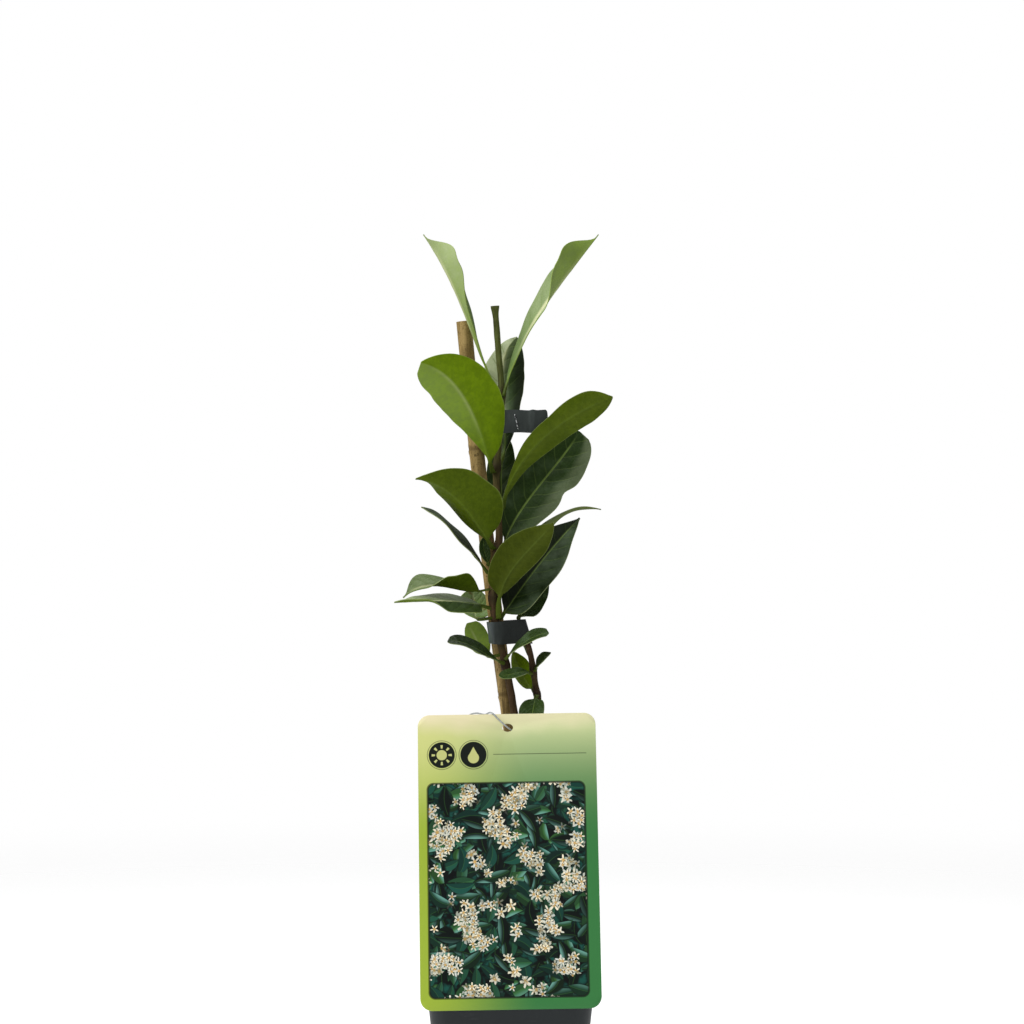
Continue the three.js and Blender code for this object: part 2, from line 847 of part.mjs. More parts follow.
addPart("label_loop", labelLoop(), loopClear);

// ---------------------------------------------------------------- leaves

// the cubic curve that runs through four points, at 0, 1/3, 2/3 and 1 of its length
function curveThrough(points) {
  const [start, third, twoThirds, end] = points.map(vector);
  const near = new THREE.Vector3();
  near.addScaledVector(start, -5 / 6).addScaledVector(third, 3);
  near.addScaledVector(twoThirds, -1.5).addScaledVector(end, 1 / 3);
  const far = new THREE.Vector3();
  far.addScaledVector(start, 1 / 3).addScaledVector(third, -1.5);
  far.addScaledVector(twoThirds, 3).addScaledVector(end, -5 / 6);
  return new THREE.CubicBezierCurve3(start, near, far, end);
}

// how far one half of a blade reaches from the midrib: nothing at both ends of the blade
function bladeReach(s, [reach, widest, baseHollow, tipHollow, dentAt = 0.5, dentDepth = 0]) {
  if (s <= 0 || s >= 1) {
    return 0;
  }
  const round = (s / widest) ** widest * ((1 - s) / (1 - widest)) ** (1 - widest);
  const dent = dentDepth * Math.exp(-(((s - dentAt) / LEAF.dentLength) ** 2));
  return reach * (1 - dent) * round ** (s < widest ? baseHollow : tipHollow);
}

// a point across one half of a section: fold at the midrib, then a bend towards the edge
function acrossHalf(reach, fold, curl) {
  if (Math.abs(curl) < 1e-4) {
    return [reach * Math.cos(fold), reach * Math.sin(fold)];
  }
  const radius = reach / curl;
  const end = fold + curl;
  return [radius * (Math.sin(end) - Math.sin(fold)), radius * (Math.cos(fold) - Math.cos(end))];
}

// the blade's middle surface, as rows of points from stalk to tip, and the stalk's share of it
function bladeRows(leaf) {
  const rad = THREE.MathUtils.degToRad;
  const curve = curveThrough(leaf.rib);
  const length = curve.getLength();
  const count = Math.max(LEAF.fewestRows, Math.round(length / LEAF.rowLength) + 2);
  const base = curve.getPoint(0);
  const tip = curve.getPoint(1);
  const facing = leaf.facing === undefined ? Math.atan2(tip.y - base.y, tip.x - base.x) : rad(leaf.facing);
  const level = new THREE.Vector3(Math.sin(facing), -Math.cos(facing), 0);
  const stalk = (leaf.stalk ?? Math.min(LEAF.longestStalk, length * LEAF.stalkShare)) / length;
  const rows = [];
  for (let i = 0; i <= count; i++) {
    const t = i / count;
    const s = (t - stalk) / (1 - stalk);
    const centre = curve.getPointAt(t);
    const along = curve.getTangentAt(t);
    const side = level.clone().addScaledVector(along, -level.dot(along)).normalize();
    const up = side.clone().cross(along);
    const roll = rad(between(leaf.roll, t));
    const right = side.clone().multiplyScalar(Math.cos(roll)).addScaledVector(up, Math.sin(roll));
    const face = up.clone().multiplyScalar(Math.cos(roll)).addScaledVector(side, -Math.sin(roll));
    const plain = mix(LEAF.stalkHalfWidth, LEAF.tipHalfWidth, smooth(s));
    const fold = rad(between(leaf.fold, t));
    const row = [];
    for (let j = 0; j <= LEAF.columns; j++) {
      const u = (2 * j) / LEAF.columns - 1;
      const half = Math.max(plain, bladeReach(s, u < 0 ? leaf.left : leaf.right));
      const [out, lift] = acrossHalf(Math.abs(u) * half, fold, rad(leaf.curl) * Math.abs(u));
      const wave = leaf.wave * u * u * Math.sin(LEAF.waves.pace * t + LEAF.waves.shift * Math.sign(u));
      const shown = smooth(s / LEAF.waves.from) * smooth(half / LEAF.waves.fullWidth);
      const point = centre.clone();
      point.addScaledVector(right, Math.sign(u) * out);
      point.addScaledVector(face, lift + wave * shown);
      row.push(point);
    }
    rows.push(row);
  }
  return { rows, stalk };
}

// the points of the upper and then the lower face, half the blade's thickness off its middle
function bladeFaces(rows, stalk) {
  const last = rows.length - 1;
  const columns = LEAF.columns;
  const points = [];
  for (const sign of [1, -1]) {
    for (let i = 0; i <= last; i++) {
      for (let j = 0; j <= columns; j++) {
        const alongRow = rows[i][Math.min(j + 1, columns)].clone().sub(rows[i][Math.max(j - 1, 0)]);
        const alongRib = rows[Math.min(i + 1, last)][j].clone().sub(rows[Math.max(i - 1, 0)][j]);
        const normal = alongRow.cross(alongRib).normalize();
        const s = (i / last - stalk) / (1 - stalk);
        const u = Math.abs((2 * j) / columns - 1);
        const thin = smooth(s / LEAF.thinsOver);
        const ridge = mix(LEAF.stalkThickness, mix(LEAF.ribThickness, LEAF.edgeThickness, s), thin);
        const edge = mix(LEAF.stalkThickness * LEAF.stalkFlatness, LEAF.edgeThickness, thin);
        const thickness = mix(ridge, edge, Math.min(1, u * (columns / 2)));
        points.push(rows[i][j].clone().addScaledVector(normal, (sign * thickness) / 2));
      }
    }
  }
  return points;
}

function leafGeometry(leaf) {
  const { rows, stalk } = bladeRows(leaf);
  const last = rows.length - 1;
  const columns = LEAF.columns;
  const top = (i, j) => i * (columns + 1) + j;
  const bottom = (i, j) => (last + 1) * (columns + 1) + top(i, j);
  const triangles = [];
  const quad = (a, b, c, d) => triangles.push([a, b, c], [a, c, d]);
  for (let i = 0; i < last; i++) {
    for (let j = 0; j < columns; j++) {
      quad(top(i, j), top(i, j + 1), top(i + 1, j + 1), top(i + 1, j));
      triangles.push([bottom(i, j), bottom(i + 1, j + 1), bottom(i, j + 1)]);
      triangles.push([bottom(i, j), bottom(i + 1, j), bottom(i + 1, j + 1)]);
    }
    quad(bottom(i, 0), top(i, 0), top(i + 1, 0), bottom(i + 1, 0));
    quad(top(i, columns), bottom(i, columns), bottom(i + 1, columns), top(i + 1, columns));
  }
  for (let j = 0; j < columns; j++) {
    quad(bottom(0, j), bottom(0, j + 1), top(0, j + 1), top(0, j));
    quad(top(last, j), top(last, j + 1), bottom(last, j + 1), bottom(last, j));
  }
  return geometryFrom(bladeFaces(rows, stalk), triangles);
}

for (const leaf of LEAVES) {
  addPart(leaf.name, leafGeometry(leaf), leafGreen);
}

export default group;
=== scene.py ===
import math
import random
from bisect import bisect_right

import bmesh
import bpy
from bpy.props import FloatProperty, FloatVectorProperty, IntProperty, PointerProperty
from mathutils import Matrix, Vector, geometry, noise


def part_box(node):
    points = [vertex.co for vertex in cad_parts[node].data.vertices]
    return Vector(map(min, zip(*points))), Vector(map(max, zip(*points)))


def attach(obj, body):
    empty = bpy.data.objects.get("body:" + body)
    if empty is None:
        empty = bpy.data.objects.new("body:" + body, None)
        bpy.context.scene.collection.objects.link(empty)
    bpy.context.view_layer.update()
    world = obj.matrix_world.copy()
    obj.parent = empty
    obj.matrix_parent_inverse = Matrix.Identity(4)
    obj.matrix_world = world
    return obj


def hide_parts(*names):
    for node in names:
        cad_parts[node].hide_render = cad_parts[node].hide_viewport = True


bl_info = {
    "name": "Young Climber in a Nursery Pot",
    "version": (1, 0, 0),
    "blender": (4, 5, 0),
    "location": "3D View > Sidebar > Climber",
    "description": "Dresses a potted young climbing plant: leaves, stems, cane, ties, label and pot",
    "category": "Object",
}

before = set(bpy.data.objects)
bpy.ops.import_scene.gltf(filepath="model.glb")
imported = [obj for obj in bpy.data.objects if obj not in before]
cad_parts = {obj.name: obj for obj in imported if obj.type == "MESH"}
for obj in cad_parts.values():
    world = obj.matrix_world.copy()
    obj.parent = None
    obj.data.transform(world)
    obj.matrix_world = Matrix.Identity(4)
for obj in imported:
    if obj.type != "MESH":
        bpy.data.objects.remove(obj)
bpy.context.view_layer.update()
MM = 0.001
TURN = 2 * math.pi
BODY = "root"
POT_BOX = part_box("pot")
POT_HEIGHT = (POT_BOX[1].z - POT_BOX[0].z) / MM
POT_WIDTH = (POT_BOX[1].x - POT_BOX[0].x) / MM

# ---------------------------------------------------------------- the plant's plan, in millimetres
# The routes and blades repeat the ones that the solids were made from.

CANE_RADIUS = 4.0
CANE_JOINTS = (352, 226, 118)
CANE_ROUTE = (
    (24, 3.5, 24),
    (17, 3.5, 88),
    (8.5, 3.5, 150),
    (-1, 3.5, 217.5),
    (-5.5, 3.5, 250),
    (-12.5, 3.5, 308.5),
    (-18, 3.5, 358),
    (-24, 3.5, 419),
)
MAIN_STEM = {
    "root_radius": 2.2,
    "tip_radius": 1.55,
    "nodes": (427, 382, 344, 302, 277, 262, 243),
    "swell": 0.75,
    "spread": 3.5,
    "route": (
        (15, -5, 52),
        (15, -4.8, 88),
        (13, -4.2, 130),
        (8, -3.8, 180),
        (2, -3.8, 218),
        (-1.5, -3.8, 238),
        (-5, -3.8, 253),
        (-7.6, -3.7, 264),
        (-9, -3.6, 276),
        (-8.6, -3, 289),
        (-6, -2.5, 306.5),
        (-6.5, -2, 325),
        (-7.3, -2, 338),
        (-5.5, -2, 363),
        (-4.5, -2, 382),
        (-6, -2, 401),
        (-8, -2, 426.5),
    ),
}
SIDE_STEM = {
    "root_radius": 1.9,
    "tip_radius": 1.5,
    "nodes": (262, 240, 228),
    "swell": 0.5,
    "spread": 3,
    "route": (
        (25, -3, 56),
        (25, -2.6, 88),
        (22, -1.6, 150),
        (15.5, -1, 218),
        (13.5, -1, 228),
        (11.5, -1, 241),
        (9.6, -1, 250.5),
        (7.2, -0.8, 258),
        (5, -0.6, 264.5),
    ),
}
LOOP_ROUTE = (
    (-1.4, -20.6, 212),
    (-5.5, -20.4, 215.6),
    (-9.8, -19, 219.4),
    (-13, -15.8, 218.2),
    (-17, -12.5, 218.7),
    (-20.5, -7, 217.6),
    (-18.5, 3, 215.8),
    (-8, 10, 214),
    (2, 10.6, 212),
    (8.5, 5, 211),
    (9, -3, 210),
    (5.5, -11, 209.4),
    (1.6, -17.2, 210),
)
LABEL_WIDTH = 90.0
LABEL_HEIGHT = 148.0
LABEL_THICKNESS = 0.8
LABEL_LEAN = 13.3
LABEL_TURN = 0.95
LABEL_FOOT = (0.4, -51.6, 74.5)
LABEL_HOLE = (0.5, 141.0, 2.75, 2.1)
SUN_MIDDLE = (-33.0, 127.5)
DROP_MIDDLE = (-17.0, 127.5)
PANEL = (-0.8, 59.5, 39.5, 53.5, 3.0)  # the picture's middle, half its size and its corners
PRINTED_LEAVES = ((0.1, 91.0, 5.0, 1.7), (0.08, 13.0, 6.4, 2.2), (0.065, 41.0, 8.0, 2.7))
PRINTED_BLOSSOMS = ((0.24, 23.0, 3.3, 0.545), (0.19, 57.0, 4.0, 0.555), (0.27, 75.0, 2.8, 0.54))
SOIL_TOP = 88.0
TAPE_HEIGHT = 11.6
UPPER_TIE_BOTTOM = 361.5
LOWER_TIE_BOTTOM = 253.8
DENT_LENGTH = 0.07
VEIN_SLANT = 0.75  # how far a side vein runs forward as it leaves the midrib
VEIN_SWEEP = 2.2  # how much more it does towards the edge

# Each blade: rib holds four points from stalk to tip. left and right give each half's reach, the
# place where it is widest, and how hollow its outline is towards the stalk and towards the tip; two
# more numbers place a dent along the blade and give its depth. roll and fold are in degrees at
# evenly spaced places, curl bends each half on to its edge, and facing is the way the blade grows,
# seen from above. wave is the height of the waves at its edge, and stalk is the stalk's length,
# which is otherwise a tenth of the rib's and at most 6. fresh runs from an old dark leaf to a young
# one, and worn is how much of it is spotted and dry. tone paints light and shade into the colour:
# above 0 it gives the upper face's left and right half and the underside's a paler painted sheen,
# below 0 a darker painted shade. edge_sheen_shade adds to this painted sheen and shade on the left
# and right half towards the edge, and tip_sheen_shade towards the tip.
BLADES = (
    dict(name="leaf_crown_left",
         rib=((-7.8, -2.6, 384), (-18.5, -4, 410), (-30, -6, 437), (-44.5, -8, 462.5)),
         left=(11.5, 0.8, 2.2, 14), right=(10, 0.7, 2.2, 9), roll=(2, 2, 7, 4, -20),
         fold=(12, 12, 21, 39, 65), curl=12, wave=0.3, facing=185, fresh=0.75,
         tone=(0.15, 0.15, 0.3, 0.35), tip_sheen_shade=0.25),
    dict(name="leaf_crown_right",
         rib=((-3.6, -5.5, 380), (7.6, -4.2, 410), (25, -6, 436.5), (45, -8, 462.5)),
         left=(12, 0.62, 1.3, 6), right=(12, 0.8, 1.3, 14), roll=(-12, -12, -22, 0, 15),
         fold=(2, 2, 10, 40, 72), curl=8, wave=0.4, facing=0, fresh=0.95, tone=(0.35, 0.75, 0.3, 0.3),
         tip_sheen_shade=-0.15),
    dict(name="leaf_back_upper", rib=((-6, 1.6, 345), (-3, 10, 366), (-4.5, 18, 392), (3.5, 22, 412)),
         left=(12, 0.5, 1.5, 1.9), right=(11.6, 0.66, 1.7, 1.3), roll=(8, 12, 12), fold=(4, -10, -12),
         curl=8, wave=0.5, facing=90, fresh=0.2, tone=(0.7, 0.1, 0.0, 0.0), edge_sheen_shade=(0.0, -0.9)),
    dict(name="leaf_front_upper",
         rib=((-9, -5, 341), (-15.5, -16, 362.5), (-26.5, -30, 383.5), (-44.5, -44, 395.5)),
         left=(18.5, 0.45, 1.6, 1.5), right=(13.5, 0.65, 1.9, 0.9), roll=(-50, -56, -56),
         fold=(20, 8, 5), curl=10, wave=0.7, fresh=1.0, tone=(0.0, 0.0, 0.0, 0.12)),
    dict(name="leaf_back_middle",
         rib=((-5.6, 1, 304.5), (-4.4, 11, 321), (-4.8, 17, 341), (-2, 18, 360)),
         left=(8, 0.6, 1.6, 1.4), right=(8, 0.6, 1.6, 1.4), roll=(0, 0, 0), fold=(20, 15, 10), curl=6,
         wave=0.5, facing=90, fresh=0.1),
    dict(name="leaf_front_right",
         rib=((-3.9, -3.7, 322.5), (7, -12, 348), (27.5, -20, 367), (51.5, -26, 379)),
         left=(10, 0.68, 1.2, 2.3), right=(8.6, 0.79, 1.4, 4.8, 0.58, 0.07), roll=(40, 48, 52),
         fold=(15, 8, 4), curl=8, wave=0.6, fresh=0.2),
    dict(name="leaf_broad_right",
         rib=((-3.2, -1, 303.5), (6.5, 8, 323.5), (22, 18, 343.5), (36, 24, 363)),
         left=(16, 0.6, 1.2, 1.3), right=(15.5, 0.6, 0.8, 1, 0.56, 0.14), roll=(-50, -60, -60),
         fold=(12, 8, 4), curl=8, wave=0.8, stalk=3.2, fresh=0.08, tone=(-0.12, -0.06, 0.0, 0.0),
         edge_sheen_shade=(0.0, 0.2)),
    dict(name="leaf_broad_left",
         rib=((-9, -4.9, 302.5), (-19, -16, 318), (-31.5, -28, 331.5), (-47.5, -36, 337.5)),
         left=(18.5, 0.38, 1.5, 1.6), right=(14.5, 0.4, 1.7, 2.4), roll=(-30, -27, -30),
         fold=(30, 29, 20), curl=8, wave=0.6, fresh=0.25),
    dict(name="leaf_small_left",
         rib=((-11, -4.7, 294), (-12.8, -4.6, 299), (-13.6, -4.4, 303), (-13.8, -4.2, 308)),
         left=(3.4, 0.5, 1, 1.3), right=(3, 0.5, 1, 1.3), roll=(0, 0, 0), fold=(15, 10, 6), curl=6,
         wave=0.2, facing=120, fresh=0.1),
    dict(name="leaf_slim_left",
         rib=((-11.5, -3.6, 289.5), (-21.5, -6, 303), (-33.5, -8, 316), (-45.5, -8, 323.5)),
         left=(10, 0.45, 1.5, 1.4), right=(10, 0.45, 1.5, 1.4), roll=(12, 13, 10), fold=(4, 0, 0),
         curl=3, wave=0.4, fresh=0.1, tone=(-0.5, -0.5, 0.0, 0.0)),
    dict(name="leaf_slim_right",
         rib=((-6.4, -0.9, 287.5), (8.5, 14, 302), (25, 19, 318), (47, 18, 322.3)),
         left=(10, 0.5, 1.2, 2.2), right=(10, 0.5, 1.2, 2.2), roll=(30, 29, 3), fold=(4, 0, 0), curl=3,
         wave=0.4, fresh=0.15),
    dict(name="leaf_front_middle",
         rib=((-5.9, -6.2, 266.6), (-2.5, -12, 286), (8.8, -24, 301.5), (21.6, -34, 315.5)),
         left=(7.4, 0.6, 1, 2), right=(12.6, 0.4, 1.0, 1.6), roll=(55, 65, 65), fold=(5, 2, 0), curl=8,
         wave=0.6, stalk=12, fresh=0.0, tone=(0.0, 0.0, -0.1, -0.1)),
    dict(name="leaf_glossy_right",
         rib=((-5, -2.4, 266.6), (7, -2, 284), (20.5, -1, 301.5), (35.5, 1, 318)),
         left=(13, 0.5, 1.5, 2.6), right=(13, 0.42, 0.5, 1.7), roll=(-60, -68, -60), fold=(14, 10, 6),
         curl=8, wave=0.6, stalk=3.5, fresh=0.0, tone=(-0.9, -0.3, 0.0, 0.0)),
    dict(name="leaf_glossy_back",
         rib=((4, 0.8, 266.4), (7, 7.5, 273.2), (12.2, 13, 286), (18, 15, 300)),
         left=(9, 0.5, 1.5, 1.5), right=(9.8, 0.38, 0.7, 1.5), roll=(-55, -60, -60), fold=(10, 8, 6),
         curl=8, wave=0.4, stalk=3.2, fresh=0.05),
    dict(name="leaf_curled_left",
         rib=((-11.6, -4.4, 281.5), (-25, -10, 281.5), (-40, -14, 283.5), (-54.5, -16, 277.5)),
         left=(11, 0.36, 2.3, 3.4), right=(8.5, 0.7, 3, 9), roll=(-8, -8, 5, 31, 32),
         fold=(48, 48, 35, 14, 12), curl=8, wave=0.4, fresh=0.5, tone=(0.16, 0.2, -0.5, -0.5)),
    dict(name="leaf_long_left",
         rib=((-11.2, -4.6, 272), (-25, -14, 275.2), (-41.5, -22, 276), (-58.5, -28, 275.5)),
         left=(11, 0.38, 0.8, 1.4), right=(10, 0.45, 0.9, 1.5), roll=(28, 26, 24, 5, -20),
         fold=(-2, -6, -6, 10, 12), curl=5, wave=0.3, fresh=0.5, tone=(-0.45, 0.4, -0.25, -0.25)),
    dict(name="leaf_back_left",
         rib=((-11.2, -4.6, 266.6), (-16.8, 1, 266), (-18.4, 9.5, 269.6), (-20, 13.2, 281.5)),
         left=(10, 0.56, 2, 1.2), right=(8.6, 0.5, 1.2, 1.2), roll=(0, 0, 0), fold=(12, 10, 8), curl=6,
         wave=0.3, stalk=8, fresh=1.0, worn=0.7, tone=(0.14, 0.14, 0.0, 0.0)),
    dict(name="leaf_low_back",
         rib=((-7.2, -4.3, 247.5), (-13.5, 3, 248), (-17.4, 11, 254), (-22.5, 13, 263.4)),
         left=(7, 0.6, 1.2, 0.9), right=(5, 0.6, 1.4, 1.4), roll=(180, 210, 210), fold=(-8, -6, -4),
         curl=-6, wave=0.3, stalk=7, fresh=0.8, tone=(0.0, 0.0, 0.12, 0.12)),
    dict(name="leaf_low_left",
         rib=((-3.6, -7.1, 244), (-12, -12, 248.5), (-22, -14, 254), (-32, -14, 255)),
         left=(5.5, 0.6, 1.5, 1.3), right=(5.3, 0.62, 1.5, 1), roll=(30, 33, 30), fold=(15, 10, 6),
         curl=6, wave=0.2, fresh=0.1, tone=(-0.2, -0.2, 0.0, 0.0)),
    dict(name="leaf_low_right",
         rib=((-2.3, -7, 246.3), (3.3, -11, 252), (11.2, -14.5, 257.3), (19.5, -16, 259.5)),
         left=(6, 0.65, 1.6, 1.1), right=(6.8, 0.62, 1.2, 1), roll=(-30, -33, -30), fold=(15, 10, 6),
         curl=6, wave=0.2, fresh=0.15, tone=(-0.12, -0.12, 0.0, 0.0)),
    dict(name="leaf_side_right",
         rib=((12.9, -3.3, 240.5), (14.4, -7, 243.5), (17.5, -10, 247), (20.5, -11, 249.5)),
         left=(5, 0.42, 0.8, 1.3), right=(3.4, 0.6, 1.3, 1), roll=(-55, -55, -50), fold=(10, 8, 4),
         curl=6, wave=0.1, fresh=0.2),
    dict(name="leaf_side_left",
         rib=((10, -2.8, 238.6), (5, -9, 239.5), (0, -12, 238.5), (-6, -13, 238)),
         left=(3.5, 0.6, 1.2, 1), right=(3.5, 0.6, 1.2, 1), roll=(40, 40, 40), fold=(10, 8, 4), curl=6,
         wave=0.1, fresh=0.25),
    dict(name="leaf_side_back", rib=((12.2, 1.6, 229), (9, 4, 234), (5, 6, 241), (1.5, 7, 249)),
         left=(6, 0.5, 1.3, 1.3), right=(7.5, 0.45, 1.2, 1.3), roll=(-70, -75, -70), fold=(10, 8, 4),
         curl=6, wave=0.2, fresh=0.6),
    dict(name="leaf_side_inner",
         rib=((10.2, 1.4, 246), (8.4, 6, 249), (6.5, 8, 252.5), (4.8, 9, 256.5)),
         left=(3.5, 0.5, 1.3, 1.3), right=(3.5, 0.5, 1.3, 1.3), roll=(-40, -40, -40), fold=(15, 12, 8),
         curl=6, wave=0.1, fresh=0.3),
    dict(name="leaf_hanging",
         rib=((13.2, -3.7, 227.2), (11.8, -8, 222), (10.8, -11.5, 216), (9.8, -12.5, 206)),
         left=(7, 0.4, 1, 1.2), right=(7, 0.4, 1, 1.2), roll=(0, 0, 0), fold=(15, 12, 8), curl=6,
         wave=0.2, fresh=0.15),
)

# ---------------------------------------------------------------- settings


def srgb(red, green, blue):
    """A colour as scene light values, from the 0 to 255 values of a screen."""

    def linear(value):
        part = value / 255
        return part / 12.92 if part <= 0.04045 else ((part + 0.055) / 1.055) ** 2.4

    return (linear(red), linear(green), linear(blue))


def colour(name, description, *screen):
    """A colour property, with its default given as the 0 to 255 values of a screen."""
    limits = {"min": 0.0, "max": 1.0}
    return FloatVectorProperty(
        name=name, description=description, subtype="COLOR", size=3, default=srgb(*screen), **limits
    )


def number(name, description, default, **limits):
    return FloatProperty(name=name, description=description, default=default, **limits)


class PlantSettings(bpy.types.PropertyGroup):
    """Sizes and colours of the leaves and stems."""

    blade_thickness: number("Blade thickness", "Thickness of a large leaf at its edge, in mm", 0.42, min=0.1)
    vein_pairs: IntProperty(
        name="Vein pairs", description="Side veins on each half of a blade", default=8, min=1
    )
    upper_dark: colour("Old upper face", "Upper face of an old leaf", 27, 48, 9)
    upper_fresh: colour("Young upper face", "Upper face of a young leaf", 86, 116, 40)
    under_dark: colour("Old underside", "Underside of an old leaf", 62, 72, 12)
    under_fresh: colour("Young underside", "Underside of a young leaf", 118, 148, 14)
    stalk: colour("Stalks", "Short stalk of each leaf", 66, 80, 22)
    vein: colour("Veins", "Midrib and side veins", 112, 134, 62)
    # pale and deep are painted light: the painted sheen and the painted shade that tone lays on a leaf face
    pale: colour("Pale leaf", "Grey-green of the palest faces", 190, 202, 158)
    deep: colour("Shaded leaf", "Near black of the darkest faces", 8, 14, 4)
    midrib: colour("Midrib below", "Soft band along the midrib of an underside", 104, 116, 48)
    cream: colour("Pale midrib", "Midrib of the palest faces", 216, 216, 172)
    # painted sheen: grey patches laid on upper faces by noise
    sheen: colour("Sheen", "Dull grey patches on an upper face", 104, 126, 92)
    rim: colour("Leaf edge", "Thin pale edge of a leaf", 150, 164, 98)
    spot: colour("Dry spots", "Dry brown spots on a worn leaf", 104, 78, 44)
    bark: colour("Bark", "Bark of the young stems", 84, 64, 40)
    bark_fresh: colour("Fresh bark", "Greener bark near the top", 84, 92, 44)
    bark_dark: colour("Bark at the joints", "Dark bark around the leaf joints", 38, 28, 18)


class HolderSettings(bpy.types.PropertyGroup):
    """Sizes and colours of the pot, soil, cane and ties."""

    pot_width: number("Pot width", "Width of the rim, in mm", POT_WIDTH, min=1)
    pot_height: number("Pot height", "Height of the pot, in mm", POT_HEIGHT, min=1)
    pot: colour("Pot", "Moulded plastic of the pot", 27, 34, 36)
    soil: colour("Soil", "Moist peat", 58, 42, 30)
    soil_dry: colour("Dry soil", "Dry crumbs of peat", 104, 80, 58)
    cane: colour("Cane", "Dry skin of the cane", 172, 146, 92)
    cane_dark: colour("Cane streaks", "Dark streaks and joints of the cane", 92, 72, 30)
    tape: colour("Tape", "Tying tape", 46, 52, 50)
    # painted sheen: the pale grey laid on the lower tape's left end
    tape_sheen: colour("Rubbed tape", "Tape where it is rubbed pale", 120, 132, 136)


class LabelSettings(bpy.types.PropertyGroup):
    """Colours of the printed label."""

    top: colour("Top", "Print at the top of the card", 234, 222, 184)
    left_high: colour("Upper left", "Print at the upper left of the card", 206, 210, 134)
    left: colour("Lower left", "Print at the lower left of the card", 152, 174, 58)
    right_high: colour("Upper right", "Print at the upper right of the card", 192, 204, 148)
    right: colour("Lower right", "Print at the lower right of the card", 56, 118, 64)
    ink: colour("Ink", "Dark ink of the frame and pictograms", 20, 26, 20)
    petal: colour("Petals", "Petals in the printed picture", 246, 236, 206)
    petal_cool: colour("Cool petals", "Petals in the printed picture's shade", 206, 212, 204)
    heart: colour("Flower hearts", "Middles of the printed flowers", 206, 164, 88)
    foliage: colour("Foliage", "Leaves in the printed picture", 24, 76, 66)
    foliage_fresh: colour("Fresh foliage", "Young leaves in the printed picture", 70, 122, 56)
    gleam: colour("Gleam", "Light on the leaves in the printed picture", 112, 168, 154)
    shade: colour("Shade", "Dark gaps in the printed picture", 6, 10, 10)


class StageSettings(bpy.types.PropertyGroup):
    """The camera, the floor and the light."""

    distance: number("Distance", "From the camera to the plant, in mm", 1500)
    eye_height: number("Eye height", "Height of the camera, in mm", 321)
    eye_right: number("Eye to the right", "Camera to the right, in mm", 0.77)
    scale: number("Scale", "Pixels to a mm at the plant", 1.95)
    floor: colour("Floor", "Plain pale floor", 252, 252, 252)
    soft_light: number("Soft light", "Even light from all around", 0.32)
    key_light: number("Key light", "Lamp at the upper left, in watts", 30)
    top_light: number("Top light", "Lamp above, in watts", 20)


# ---------------------------------------------------------------- plain maths


def mix(low, high, t):
    return low + (high - low) * t


def smooth(value):
    t = min(max(value, 0.0), 1.0)
    return t * t * (3 - 2 * t)


def between(keys, t):
    """A value between evenly spaced keys, with a smooth step from each key to the next."""
    place = min(max(t, 0.0), 1.0) * (len(keys) - 1)
    i = min(int(place), len(keys) - 2)
    return mix(keys[i], keys[i + 1], smooth(place - i))


def bell(value, width):
    return math.exp(-((value / width) ** 2))


class Path:
    """A line through many points, walked by its length."""

    def __init__(self, points):
        self.points = points
        self.reached = [0.0]
        for start, end in zip(points, points[1:]):
            self.reached.append(self.reached[-1] + (end - start).length)
        self.length = self.reached[-1]

    def at(self, distance):
        """The point at a distance along the line, and the line's direction there."""
        i = min(max(bisect_right(self.reached, distance) - 1, 0), len(self.points) - 2)
        start = self.points[i]
        end = self.points[i + 1]
        t = (distance - self.reached[i]) / max(self.reached[i + 1] - self.reached[i], 1e-9)
        before = self.points[max(i - 1, 0)]
        after = self.points[min(i + 2, len(self.points) - 1)]
        here = (end - before).normalized()
        there = (after - start).normalized()
        return start.lerp(end, t), here.lerp(there, min(max(t, 0.0), 1.0)).normalized()


def route_path(route, closed=False, steps=12):
    """A smooth path through a route's points, with tangents that suit their spacing."""
    points = [Vector(point) for point in route]
    if closed:
        knots = [points[-1], *points, points[0], points[1]]
    else:
        knots = [2 * points[0] - points[1], *points, 2 * points[-1] - points[-2]]
    walked = []
    for a, b, c, d in zip(knots, knots[1:], knots[2:], knots[3:]):
        first = math.sqrt((b - a).length)
        middle = math.sqrt((c - b).length)
        last = math.sqrt((d - c).length)
        leave = (b - a) / first - (c - a) / (first + middle) + (c - b) / middle
        arrive = (c - b) / middle - (d - b) / (middle + last) + (d - c) / last
        handle_b = b + leave * middle / 3
        handle_c = c - arrive * middle / 3
        walked += geometry.interpolate_bezier(b, handle_b, handle_c, c, steps + 1)[:-1]
    walked.append(knots[-2])
    return Path(walked)


def curve_through(points):
    """The cubic curve that runs through four points at 0, 1/3, 2/3 and 1 of its length."""
    start, third, two_thirds, end = [Vector(point) for point in points]
    near = start * (-5 / 6) + third * 3 - two_thirds * 1.5 + end / 3
    far = start / 3 - third * 1.5 + two_thirds * 3 - end * (5 / 6)
    return Path(geometry.interpolate_bezier(start, near, far, end, 240))


# ---------------------------------------------------------------- mesh helpers


def skin(bm, rings, cap_start=True, cap_end=True):
    """Extrudes a first ring of points through the other rings, and returns the rings' vertices."""
    ring = [bm.verts.new(point) for point in rings[0]]
    edges = [bm.edges.new(pair) for pair in zip(ring, ring[1:] + ring[:1])]
    if cap_start:
        bm.faces.new(ring)
    made = [ring]
    for points in rings[1:]:
        grown = bmesh.ops.extrude_edge_only(bm, edges=edges)["geom"]
        edges = [part for part in grown if isinstance(part, bmesh.types.BMEdge)]
        fresh = {part for part in grown if isinstance(part, bmesh.types.BMVert)}
        ring = [next(e.other_vert(v) for e in v.link_edges if e.other_vert(v) in fresh) for v in ring]
        for vert, point in zip(ring, points):
            vert.co = point
        made.append(ring)
    if cap_end:
        bm.faces.new(ring)
    return made


